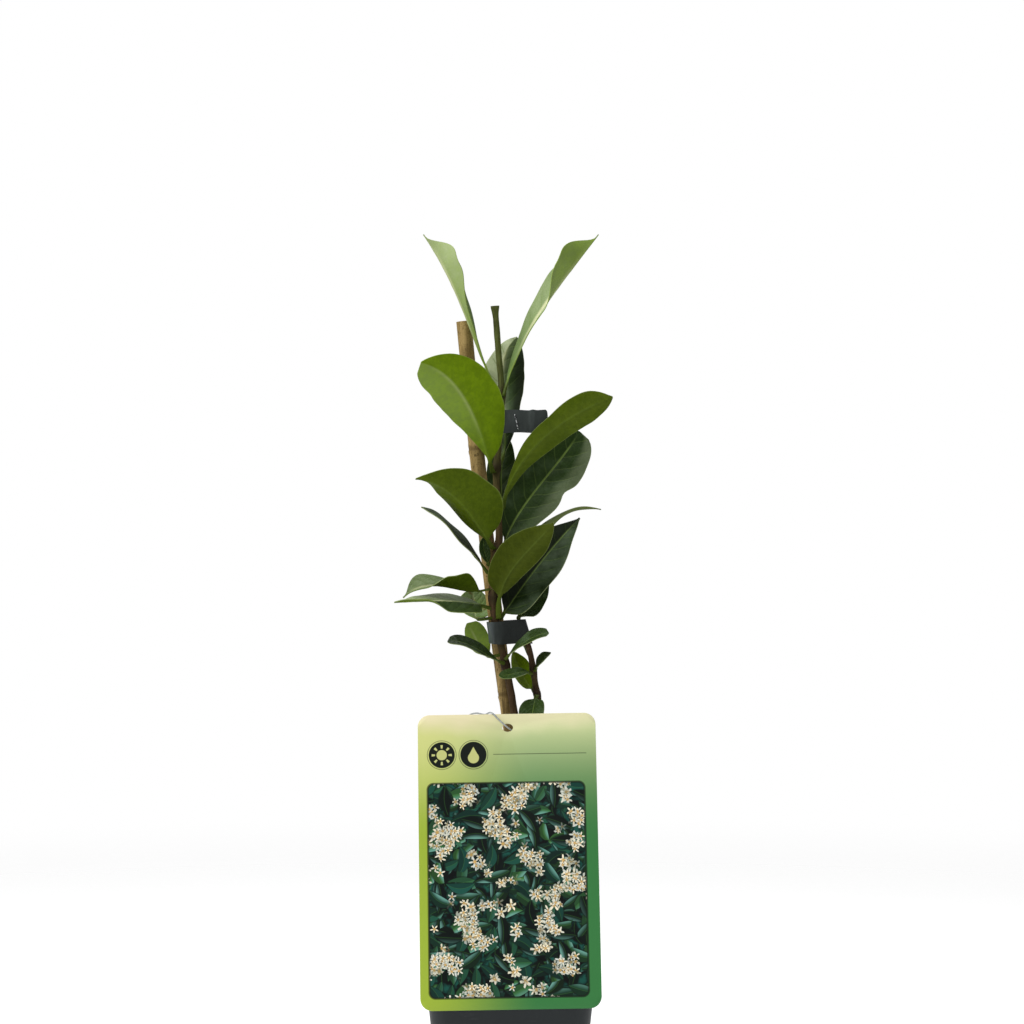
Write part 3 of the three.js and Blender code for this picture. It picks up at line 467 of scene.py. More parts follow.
def tube_rings(path, radius_at, sides, step, start=0.0):
    """Rings around a path, each turned with the path so that the tube never twists."""
    count = max(2, round((path.length - start) / step))
    _, along = path.at(start)
    side = along.orthogonal().normalized()
    rings = []
    for i in range(count + 1):
        centre, along = path.at(start + (path.length - start) * i / count)
        side = (side - along * side.dot(along)).normalized()
        other = along.cross(side)
        ring = []
        for j in range(sides):
            angle = TURN * j / sides
            outward = side * math.cos(angle) + other * math.sin(angle)
            ring.append(centre + outward * radius_at(centre, outward))
        rings.append(ring)
    return rings


def arc(x, y, radius, first, last, steps, height=0.0):
    """Points along part of a circle, both ends included. first and last are angles."""
    points = []
    for i in range(steps + 1):
        angle = mix(first, last, i / steps)
        points.append(Vector((x + radius * math.cos(angle), y + radius * math.sin(angle), height)))
    return points


def rounded_square(width, corner, height, steps=12):
    """One level of the pot, as points around it."""
    points = []
    for quarter in range(4):
        first = quarter * math.pi / 2
        middle = first + math.pi / 4
        x = math.copysign(width / 2 - corner, math.cos(middle))
        y = math.copysign(width / 2 - corner, math.sin(middle))
        points += arc(x, y, corner, first, first + math.pi / 2, steps, height)
    return points


def ellipse(x, y, across, up, count):
    """Points around an ellipse."""
    angles = [TURN * i / count for i in range(count)]
    return [Vector((x + across * math.cos(a), y + up * math.sin(a), 0)) for a in angles]


def edges_of(bm, loops):
    """The edges that run around loops of vertices."""
    edges = []
    for loop in loops:
        edges += [bm.edges.get(pair) for pair in zip(loop, loop[1:] + loop[:1])]
    return edges


def fill_between(bm, loops):
    """Fills the flat face between an outline and the holes in it."""
    edges = edges_of(bm, loops)
    return bmesh.ops.triangle_fill(bm, use_beauty=True, use_dissolve=False, edges=edges)["geom"]


def add_object(name, data):
    item = bpy.data.objects.new(name, data)
    bpy.context.scene.collection.objects.link(item)
    return item


def new_mesh(bm, name, finishes):
    mesh = bpy.data.meshes.new(name)
    bm.to_mesh(mesh)
    bm.free()
    for finish in finishes:
        mesh.materials.append(finish)
    return mesh


def finish_piece(bm, name, finishes, nodes, sharp_angle=None):
    """Turns a bmesh in millimetres into a piece of the object that stands for the given nodes."""
    bmesh.ops.recalc_face_normals(bm, faces=bm.faces)
    if sharp_angle is not None:
        for edge in bm.edges:
            if len(edge.link_faces) == 2 and edge.calc_face_angle() > math.radians(sharp_angle):
                edge.smooth = False
    for face in bm.faces:
        face.smooth = True
    bmesh.ops.scale(bm, vec=(MM, MM, MM), verts=bm.verts)
    piece = add_object(name, new_mesh(bm, name, finishes))
    if nodes:
        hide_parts(*nodes)
    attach(piece, BODY)
    return piece


# ---------------------------------------------------------------- shader helpers


def maths(operation, swapped=False):
    """A method that adds a Math node, with the field itself as its first value or its last."""

    def method(self, *others):
        values = (*others, self) if swapped else (self, *others)
        return self.finish.node("ShaderNodeMath", {"operation": operation}, dict(enumerate(values)))

    return method


class Field:
    """A number, vector or colour that varies over a surface, written with the usual operators."""

    __add__ = maths("ADD")
    __radd__ = maths("ADD", swapped=True)
    __sub__ = maths("SUBTRACT")
    __rsub__ = maths("SUBTRACT", swapped=True)
    __mul__ = maths("MULTIPLY")
    __rmul__ = maths("MULTIPLY", swapped=True)
    __truediv__ = maths("DIVIDE")
    __pow__ = maths("POWER")
    __abs__ = maths("ABSOLUTE")
    fract = maths("FRACT")
    cosine = maths("COSINE")
    sine = maths("SINE")
    arctan2 = maths("ARCTAN2")
    most = maths("MAXIMUM")
    least = maths("MINIMUM")

    def __init__(self, finish, socket):
        self.finish = finish
        self.socket = socket

    def __neg__(self):
        return self * -1.0

    def step(self, low, high):
        """0 below low and 1 above high, with a smooth rise between; low may be above high."""
        settings = {"interpolation_type": "SMOOTHSTEP"}
        inputs = {"Value": self, "From Min": low, "From Max": high}
        return self.finish.node("ShaderNodeMapRange", settings, inputs)


def socket_name(word):
    return "Specular IOR Level" if word == "specular" else word.replace("_", " ").title()


def scaled(shade, factor, plus=0.0):
    """A colour made lighter or darker."""
    return tuple(value * factor + plus for value in shade)


class Finish:
    """A material under construction, with its nodes."""

    def __init__(self, name, **constants):
        self.material = bpy.data.materials.new(name)
        self.material.use_nodes = True
        self.tree = self.material.node_tree
        self.shader = self.tree.nodes["Principled BSDF"]
        for socket, value in constants.items():
            self.shader.inputs[socket_name(socket)].default_value = value

    def node(self, kind, settings=None, inputs=None, output=0):
        """Adds a node with its settings and inputs, and gives one of its outputs."""
        node = self.tree.nodes.new(kind)
        for key, value in (settings or {}).items():
            setattr(node, key, value)
        for key, value in (inputs or {}).items():
            self.feed(node.inputs[key], value)
        return Field(self, node.outputs[output])

    def feed(self, socket, value):
        if isinstance(value, Field):
            self.tree.links.new(value.socket, socket)
        elif hasattr(value, "__len__") and socket.type == "RGBA":
            socket.default_value = (*value, 1.0)[:4]
        else:
            socket.default_value = value

    def set(self, **values):
        """Feeds the surface's own sockets."""
        for key, value in values.items():
            self.feed(self.shader.inputs[socket_name(key)], value)

    def blend(self, amount, low, high, how="MIX"):
        """A colour between two colours."""
        settings = {"data_type": "RGBA", "blend_type": how}
        return self.node("ShaderNodeMix", settings, {0: amount, 6: low, 7: high}, output=2)

    def layers(self, base, *covers):
        """A colour with others laid over it in turn, each by its own amount."""
        for amount, cover in covers:
            base = self.blend(amount, base, cover)
        return base

    def place(self):
        return self.node("ShaderNodeTexCoord", output=3)

    def attribute(self, name, output=1):
        return self.node("ShaderNodeAttribute", {"attribute_name": name}, output=output)

    def split(self, vector):
        parts = self.node("ShaderNodeSeparateXYZ", inputs={0: vector})
        return [Field(self, socket) for socket in parts.socket.node.outputs]

    def join(self, x, y, z=0.0):
        return self.node("ShaderNodeCombineXYZ", inputs={0: x, 1: y, 2: z})

    def mapped(self, vector, scale=(1, 1, 1), location=(0, 0, 0)):
        inputs = {"Vector": vector, "Scale": scale, "Location": location}
        return self.node("ShaderNodeMapping", inputs=inputs)

    def noise(self, vector, scale, detail=3.0, roughness=0.55):
        inputs = {"Vector": vector, "Scale": scale, "Detail": detail, "Roughness": roughness}
        return self.node("ShaderNodeTexNoise", inputs=inputs)

    def bump(self, height, distance, strength=1.0):
        inputs = {"Height": height, "Distance": distance, "Strength": strength}
        self.feed(self.shader.inputs["Normal"], self.node("ShaderNodeBump", inputs=inputs))


# ---------------------------------------------------------------- finishes


def leaf_finish(name, settings, upper):
    """One face of a leaf. The blade attribute holds the place along the blade, the distance from
    the midrib over the blade's length, and the place across; look holds fresh, seed and worn."""
    finish = Finish(name, specular=0.14 if upper else 0.04)
    along, away, across = finish.split(finish.attribute("blade"))
    fresh, seed, worn = finish.split(finish.attribute("look"))
    # tone holds painted light: above 0 a painted sheen, below 0 a painted shade
    tone = finish.attribute("tone", output=2)
    painted_sheen = tone.most(0.0)
    painted_shade = (-tone).most(0.0)
    sideways = abs(away)
    edge = abs(across)
    half_step = away.step(-0.001, 0.001) * 0.5
    spread = finish.join(away, along, seed * 7.0)
    sway = finish.noise(spread, 7.0, detail=2.0) * 0.05
    rise = sideways * VEIN_SLANT + sideways * sideways * VEIN_SWEEP + sway
    line = (along - rise) * float(settings.vein_pairs) + half_step
    near_vein = abs(line.fract() - 0.5)
    reach = edge.step(1.0, 0.6) * along.step(0.0, 0.08)
    vein = near_vein.step(0.06, 0.01) * reach
    soft_vein = near_vein.step(0.4, 0.0) * reach
    rib = sideways.step(0.010, 0.003) * along.step(1.0, 0.8)
    cloud = finish.noise(spread, 5.0, detail=4.0)
    mottle = finish.noise(spread, 24.0, detail=4.0, roughness=0.65)
    fleck = finish.noise(spread, 60.0, detail=3.0)
    cells = {"Vector": spread, "Scale": 42.0}
    netting = finish.node("ShaderNodeTexVoronoi", {"feature": "DISTANCE_TO_EDGE"}, cells).step(0.09, 0.0)
    if upper:
        base = finish.blend(fresh, settings.upper_dark, settings.upper_fresh)
    else:
        base = finish.blend(fresh, settings.under_dark, settings.under_fresh)
    deep = finish.blend(1.0, base, (0.6, 0.64, 0.58), how="MULTIPLY")
    base = finish.layers(
        base,
        (cloud.step(0.38, 0.72) * (0.55 if upper else 0.4), deep),
        (mottle.step(0.4, 0.6) * 0.5, deep),
        (fleck.step(0.5, 0.72) * 0.3, deep),
    )
    if upper:
        # painted sheen: grey patches blended over the upper face
        patch = finish.noise(spread, 3.2, detail=5.0, roughness=0.6).step(0.46, 0.68)
        base = finish.blend(patch * (0.1 + mottle * 0.4), base, settings.sheen)
    # painted sheen towards the pale grey-green, mottled and stronger away from the stalk; painted shade
    # towards the near black
    painted_sheen_amount = painted_sheen * (mottle * 0.7 + 0.65) * (along.step(0.1, 0.55) * 0.8 + cloud * 0.45)
    base = finish.layers(base, (painted_sheen_amount, settings.pale), (painted_shade, settings.deep))
    if upper:
        # painted shade along the sunken veins; the veins show more under painted sheen
        base = finish.blend(soft_vein * 0.15, base, deep)
        marks = (vein * (painted_sheen * 0.5 + 0.2)).most(rib * 0.7).most(netting * 0.05)
    else:
        base = finish.blend(sideways.step(0.075, 0.02) * 0.1, base, settings.midrib)
        marks = (vein * 0.06).most(rib * 0.14).most(netting * 0.04)
    # a cream midrib, as strong as the painted sheen on that face
    cream = sideways.step(0.028, 0.006) * (tone * 3.0).most(0.0).least(1.0)
    cream = cream * along.step(0.98, 0.7) * along.step(0.1, 0.5)
    blotch = finish.noise(spread, 9.0, detail=3.0).step(0.6, 0.66) * worn
    base = finish.layers(
        base,
        (marks * (painted_shade * -0.8 + 1.0), settings.vein),
        (cream * (0.75 if upper else 0.4), settings.cream),
        (blotch * 0.85, settings.spot),
        (edge.step(0.965, 0.995) * (0.2 if upper else 0.35), settings.rim),
        (along.step(0.05, -0.02), settings.stalk),
    )
    gloss = 0.27 if upper else 0.42
    dull = painted_shade * 0.4 + blotch * 0.25
    roughness = fleck * 0.16 + cloud * 0.1 + soft_vein * 0.06 + gloss + dull
    finish.set(base_color=base, roughness=roughness)
    if upper:
        relief = soft_vein * -0.5 - vein * 0.25 - netting * 0.12
        relief = relief + fleck * 0.2 + mottle * 0.3 + cloud * 0.9
    else:
        relief = soft_vein * 0.3 + vein * 0.12 + fleck * 0.3 + mottle * 0.25 + cloud * 0.5
    finish.bump(relief, distance=0.4 * MM, strength=0.8 if upper else 0.4)
    return finish.material


def rim_finish(settings):
    finish = Finish("leaf_edge", roughness=0.45)
    along = finish.split(finish.attribute("blade"))[0]
    fresh = finish.split(finish.attribute("look"))[0]
    fleck = finish.noise(finish.place(), 900.0, detail=2.0)
    base = finish.layers(
        finish.blend(fresh, settings.under_dark, settings.under_fresh),
        (fleck * 0.3 + 0.2, settings.rim),
        (along.step(0.05, -0.02), settings.stalk),
    )
    finish.set(base_color=base)
    return finish.material


def bark_finish(settings):
    finish = Finish("stem_bark", roughness=0.7, specular=0.12)
    place = finish.place()
    height = finish.split(place)[2]
    joint = finish.attribute("joint", output=2)
    streak = finish.noise(finish.mapped(place, scale=(1, 1, 0.18)), 900.0)
    patch = finish.noise(finish.mapped(place, scale=(1, 1, 0.4)), 150.0)
    speck = finish.noise(place, 1500.0, detail=2.0)
    green = height.step(0.29, 0.4).most(patch.step(0.5, 0.7) * 0.5)
    base = finish.layers(
        settings.bark,
        (green, settings.bark_fresh),
        (streak.step(0.35, 0.75) * 0.6, settings.bark_dark),
        # painted shade: the stems darker below 0.3 m, under the leaves
        (height.step(0.3, 0.25) * 0.4, settings.bark_dark),
        (speck.step(0.6, 0.75) * 0.35, scaled(settings.bark, 1.7)),
        (joint * 0.75, settings.bark_dark),
    )
    finish.set(base_color=base, roughness=streak * 0.3 + 0.5)
    finish.bump(streak + speck * 0.5, distance=0.25 * MM, strength=0.8)
    return finish.material


def cane_finish(settings):
    finish = Finish("cane_bamboo", roughness=0.5, specular=0.2)
    place = finish.place()
    joint = finish.attribute("joint", output=2)
    fibre = finish.noise(finish.mapped(place, scale=(1, 1, 0.03)), 1400.0)
    streak = finish.noise(finish.mapped(place, scale=(1, 1, 0.07)), 320.0, detail=4.0)
    stain = finish.noise(finish.mapped(place, scale=(1, 1, 0.4)), 90.0, detail=4.0)
    fleck = finish.noise(finish.mapped(place, scale=(1, 1, 0.5)), 700.0, detail=2.0)
    speck = finish.noise(place, 1300.0)
    # painted shade: dark streaks on the cane below 0.255 m, under the lower tie
    painted_low_shade = finish.split(place)[2].step(0.255, 0.24) * streak.step(0.4, 0.55)
    dark = settings.cane_dark
    base = finish.layers(
        settings.cane,
        (streak.step(0.35, 0.7) * 0.6, dark),
        (fibre.step(0.4, 0.7) * 0.4, scaled(settings.cane, 0.7)),
        (stain.step(0.45, 0.65) * 0.6, dark),
        (speck.step(0.5, 0.68) * 0.45, scaled(dark, 0.6)),
        (fleck.step(0.62, 0.72) * 0.7, scaled(dark, 0.35)),
        (painted_low_shade * 0.6, scaled(dark, 0.45)),
        (joint * 0.75, scaled(dark, 0.7)),
    )
    finish.set(base_color=base, roughness=streak * 0.3 + 0.4)
    finish.bump(fibre + streak * 0.6, distance=0.2 * MM, strength=0.6)
    return finish.material


def pot_finish(settings):
    finish = Finish("pot_plastic", roughness=0.5, specular=0.3)
    place = finish.place()
    grain = finish.noise(place, 2600.0, detail=2.0)
    cloud = finish.noise(place, 26.0, detail=4.0)
    scuff = finish.noise(finish.mapped(place, scale=(1, 1, 5)), 60.0, detail=6.0, roughness=0.7)
    dust = scuff.step(0.58, 0.74)
    base = finish.layers(
        settings.pot,
        (cloud.step(0.3, 0.7) * 0.3, scaled(settings.pot, 0.7)),
        (dust * 0.14, scaled(settings.pot, 1.0, plus=0.12)),
    )
    finish.set(base_color=base, roughness=grain * 0.12 + dust * 0.15 + 0.4)
    finish.bump(grain, distance=0.08 * MM, strength=0.5)
    return finish.material


def soil_finish(settings):
    finish = Finish("soil_peat", roughness=0.95)
    place = finish.place()
    crumb = finish.noise(place, 420.0, detail=5.0, roughness=0.7)
    patch = finish.noise(place, 70.0)
    fibre = finish.noise(finish.mapped(place, scale=(1, 0.2, 1)), 900.0, detail=2.0)
    base = finish.layers(
        scaled(settings.soil, 0.5),
        (crumb.step(0.35, 0.7), settings.soil),
        (patch.step(0.45, 0.7) * 0.5, settings.soil_dry),
        (fibre.step(0.64, 0.72) * 0.6, scaled(settings.soil_dry, 1.3)),
    )
    finish.set(base_color=base)
    finish.bump(crumb + fibre * 0.4, distance=1.0 * MM)
    return finish.material


def tape_finish(settings):
    finish = Finish("tie_tape", roughness=0.5, specular=0.3)
    place = finish.place()
    grain = finish.noise(place, 2200.0, detail=2.0)
    crease = finish.noise(finish.mapped(place, scale=(1, 1, 0.35)), 240.0, detail=4.0)
    x, _, z = finish.split(place)
    lower = z.step(0.32, 0.3)
    base = finish.layers(
        settings.tape,
        (crease.step(0.5, 0.75) * 0.5, scaled(settings.tape, 2.0, plus=0.01)),
        # painted sheen on the left end of the lower tape, painted shade over the right part of it
        (x.step(-0.0075, -0.0115) * lower * 0.45, settings.tape_sheen),
        (x.step(-0.009, -0.002) * lower * 0.8, scaled(settings.tape, 0.3)),
    )
    finish.set(base_color=base, roughness=crease * 0.3 + 0.35)
    finish.bump(crease + grain * 0.2, distance=0.25 * MM, strength=0.7)
    return finish.material


def grained_finish(name, low, high, scale, edges=None, relief=None, detail=2.0, **constants):
    """A plain finish whose colour runs between two shades with a fine grain, which may also stand
    out by a relief."""
    finish = Finish(name, **constants)
    grain = finish.noise(finish.place(), scale, detail=detail)
    finish.set(base_color=finish.blend(grain.step(*edges) if edges else grain, low, high))
    if relief:
        finish.bump(grain, distance=relief)
    return finish.material


def cane_end_finish(settings):
    pale = tuple(min(1.0, value) for value in scaled(settings.cane, 1.5))
    look = {"edges": (0.4, 0.65), "relief": 0.2 * MM, "detail": 3.0, "roughness": 0.85}
    return grained_finish("cane_cut_end", pale, settings.cane_dark, 1800.0, **look)


def perlite_finish():
    look = {"relief": 0.3 * MM, "detail": 3.0, "roughness": 0.9}
    return grained_finish("soil_perlite", srgb(226, 222, 212), srgb(160, 150, 136), 1500.0, **look)


def staple_finish():
    # pale and dark dashes along the wire: a painted broken glint on the zinc
    look = {"edges": (0.45, 0.55), "metallic": 0.6, "roughness": 0.45}
    return grained_finish("staple_wire", srgb(226, 228, 228), srgb(60, 62, 64), 900.0, **look)


def thread_finish():
    shades = (srgb(176, 180, 180), srgb(120, 126, 126))
    return grained_finish("loop_thread", *shades, 900.0, roughness=0.3)


def label_back_finish():
    shades = (srgb(226, 224, 212), srgb(206, 204, 192))
    return grained_finish("label_back", *shades, 3000.0, roughness=0.45)


def filled(distance, soft=0.15):
    """1 inside an outline and 0 outside it, from the distance to it."""
    return distance.step(soft, -soft)


def scatter(finish, x, y, scale, seed):
    """For scattered spots: the offset from the nearest one, its place, and three random numbers."""
    shift = (seed, seed * 0.7, 0)
    cells = {"Vector": finish.mapped(finish.join(x, y), location=shift), "Scale": scale, "Randomness": 0.6}
    spots = finish.node("ShaderNodeTexVoronoi", {"feature": "F1"}, cells).socket.node.outputs
    shifted_x, shifted_y, _ = finish.split(Field(finish, spots["Position"]))
    spot_x = shifted_x - shift[0]
    spot_y = shifted_y - shift[1]
    chances = finish.split(Field(finish, spots["Color"]))
    return x - spot_x, y - spot_y, finish.join(spot_x, spot_y), chances


def printed_leaves(finish, settings, x, y, base, scale, seed, length, width):
    """Lays pointed leaves over a colour, each with a gleam and a shaded side."""
    off_x, off_y, _, (chance, other, third) = scatter(finish, x, y, scale, seed)
    turned = chance * TURN
    run = off_x * turned.cosine() + off_y * turned.sine()
    rise = off_y * turned.cosine() - off_x * turned.sine()
    bow = (run / length) * (run / length)
    bent = rise + bow * (other - 0.5) * width * 2.0
    edge = abs(bent) + bow * width - width
    tone = finish.layers(
        finish.blend(other * third, settings.foliage, settings.foliage_fresh),
        ((chance * 1.35).least(0.96), settings.shade),
        (bent.step(-0.3, 0.3) * 0.45, settings.shade),
        (bent.step(-0.1, -width) * ((other - 0.35) * 1.4).most(0.0), settings.gleam),
        (abs(bent).step(0.2, 0.05) * 0.3, settings.foliage_fresh),
    )
    return finish.layers(base, (edge.step(1.0, 0.0) * 0.7, settings.shade), (filled(edge, 0.12), tone))


def printed_blossoms(finish, settings, x, y, base, scale, seed, radius, least):
    """Lays five-petalled blossoms over a colour, in clusters."""
    off_x, off_y, spot, (chance, other, third) = scatter(finish, x, y, scale, seed)
    reach = (off_x * off_x + off_y * off_y) ** 0.5
    lobes = abs(((off_y.arctan2(off_x) + other * TURN) * 2.5).cosine())
    outline = (lobes ** 3.2 * 0.86 + 0.14) * (third * 0.5 + 0.7) * radius
    outside = reach - outline
    shown = finish.noise(spot, 0.075, detail=1.5).step(least, least + 0.01)
    tone = finish.layers(
        finish.blend(chance, settings.petal, settings.petal_cool),
        (lobes.step(0.75, 0.2) * 0.5, settings.heart),
        (reach.step(radius * 0.4, radius * 0.1), settings.heart),
        (third * third * 0.6, settings.foliage),
    )
    shadow = outside.step(0.9, 0.0) * shown * 0.45
    return finish.layers(base, (shadow, settings.shade), (filled(outside) * shown, tone))


def label_finish(settings):
    """The printed front. UV runs from 0 to 1 across the card and up it, and x and y are in
    millimetres from the middle of its foot."""
    finish = Finish("label_card", specular=0.2)
    u, v, _ = finish.split(finish.node("ShaderNodeTexCoord", output=2))
    x = (u - 0.5) * LABEL_WIDTH
    y = v * LABEL_HEIGHT
    ink = settings.ink
    left_side = finish.blend(v.step(0.58, 0.95), settings.left, settings.left_high)
    rise = ((v - 0.5) / 0.45).most(0.0).least(1.0) ** 3.0
    right_side = finish.blend(rise, settings.right, settings.right_high)
    haze = finish.noise(finish.join(x, y), 0.035, detail=2.0) * 0.12
    fade = (v + haze).step(0.97, 1.06) * (1.0 - u * 0.35) * 0.9
    base = finish.blend(u.step(0.0, 0.67), left_side, right_side)
    base = finish.blend(fade, base, settings.top)

    def ring(middle, radius):
        off_x = x - middle[0]
        off_y = y - middle[1]
        return (off_x * off_x + off_y * off_y) ** 0.5 - radius

    # pictograms: a sun and a drop, pale on dark round fields, and a thin rule beside them
    sun_x, sun_y = SUN_MIDDLE
    turn = (y - sun_y).arctan2(x - sun_x)
    away = ring(SUN_MIDDLE, 0.0)
    rays = (turn * 8.0).cosine().step(0.45, 0.7) * away.step(3.3, 3.5) * away.step(5.2, 5.0)
    sun = filled(ring(SUN_MIDDLE, 2.6)).most(rays)
    drop_x, drop_y = DROP_MIDDLE
    up = y - (drop_y - 1.0)
    cone = abs(x - drop_x) + up * 0.55 - 2.75
    bowl = ring((drop_x, drop_y - 1.6), 2.8)
    drop = (filled(cone, 0.1) * up.step(-0.1, 0.1)).most(filled(bowl))
    fields = filled(ring(SUN_MIDDLE, 6.6)).most(filled(ring(DROP_MIDDLE, 6.6)))
    sun_frame = abs(ring(SUN_MIDDLE, 7.3)).step(0.25, 0.1)
    drop_frame = abs(ring(DROP_MIDDLE, 7.3)).step(0.25, 0.1)
    frames = sun_frame.most(drop_frame)
    rule = abs(y - sun_y).step(0.3, 0.15) * (x + 7.0).step(-0.1, 0.1) * filled(x - 40.0, 0.1)
    base = finish.blend(fields.most(rule * 0.6).most(frames * 0.7), base, ink)
    base = finish.blend(sun.most(drop) * 0.85, base, settings.left_high)

    # picture: blossoms over foliage, in a panel with round corners
    middle_x, middle_y, half_x, half_y, corner = PANEL
    out_x = abs(x - middle_x) - (half_x - corner)
    out_y = abs(y - middle_y) - (half_y - corner)
    flat_x = out_x.most(0.0)
    flat_y = out_y.most(0.0)
    panel = (flat_x * flat_x + flat_y * flat_y) ** 0.5 + out_x.most(out_y).least(0.0) - corner
    wobble = finish.noise(finish.join(x, y), 0.16)
    picture = finish.blend(wobble.step(0.4, 0.65), settings.shade, settings.foliage)
    for scale, seed, length, width in PRINTED_LEAVES:
        layer = (scale, seed, length, width)
        picture = printed_leaves(finish, settings, x, y, picture, *layer)
        layer = (scale * 1.1, seed * 2.3, length * 0.9, width)
        picture = printed_leaves(finish, settings, x, y, picture, *layer)
    for layer in PRINTED_BLOSSOMS:
        picture = printed_blossoms(finish, settings, x, y, picture, *layer)
    frame_line = abs(panel).step(0.75, 0.35)
    base = finish.layers(base, (filled(panel, 0.1), picture), (frame_line * 0.8, ink))
    tiny = finish.noise(finish.join(x, y), 3.0, detail=2.0)
    finish.set(base_color=base, roughness=tiny * 0.1 + 0.3)
    finish.bump(tiny, distance=0.03 * MM, strength=0.4)
    return finish.material


# ---------------------------------------------------------------- leaves


def blade_reach(s, half):
    """How far one half of a blade reaches from the midrib."""
    reach, widest, base_hollow, tip_hollow, dent_at, dent_depth = (*half, 0.5, 0.0)[:6]
    if s <= 0 or s >= 1:
        return 0.0
    rounding = (s / widest) ** widest * ((1 - s) / (1 - widest)) ** (1 - widest)
    dent = 1 - dent_depth * bell(s - dent_at, DENT_LENGTH)
    return reach * dent * rounding ** (base_hollow if s < widest else tip_hollow)


def across_half(reach, fold, curl):
    """A point across one half of a section: a fold at the midrib, then a bend to the edge."""
    if abs(curl) < 1e-4:
        return reach * math.cos(fold), reach * math.sin(fold)
    radius = reach / curl
    end = fold + curl
    return radius * (math.sin(end) - math.sin(fold)), radius * (math.cos(fold) - math.cos(end))


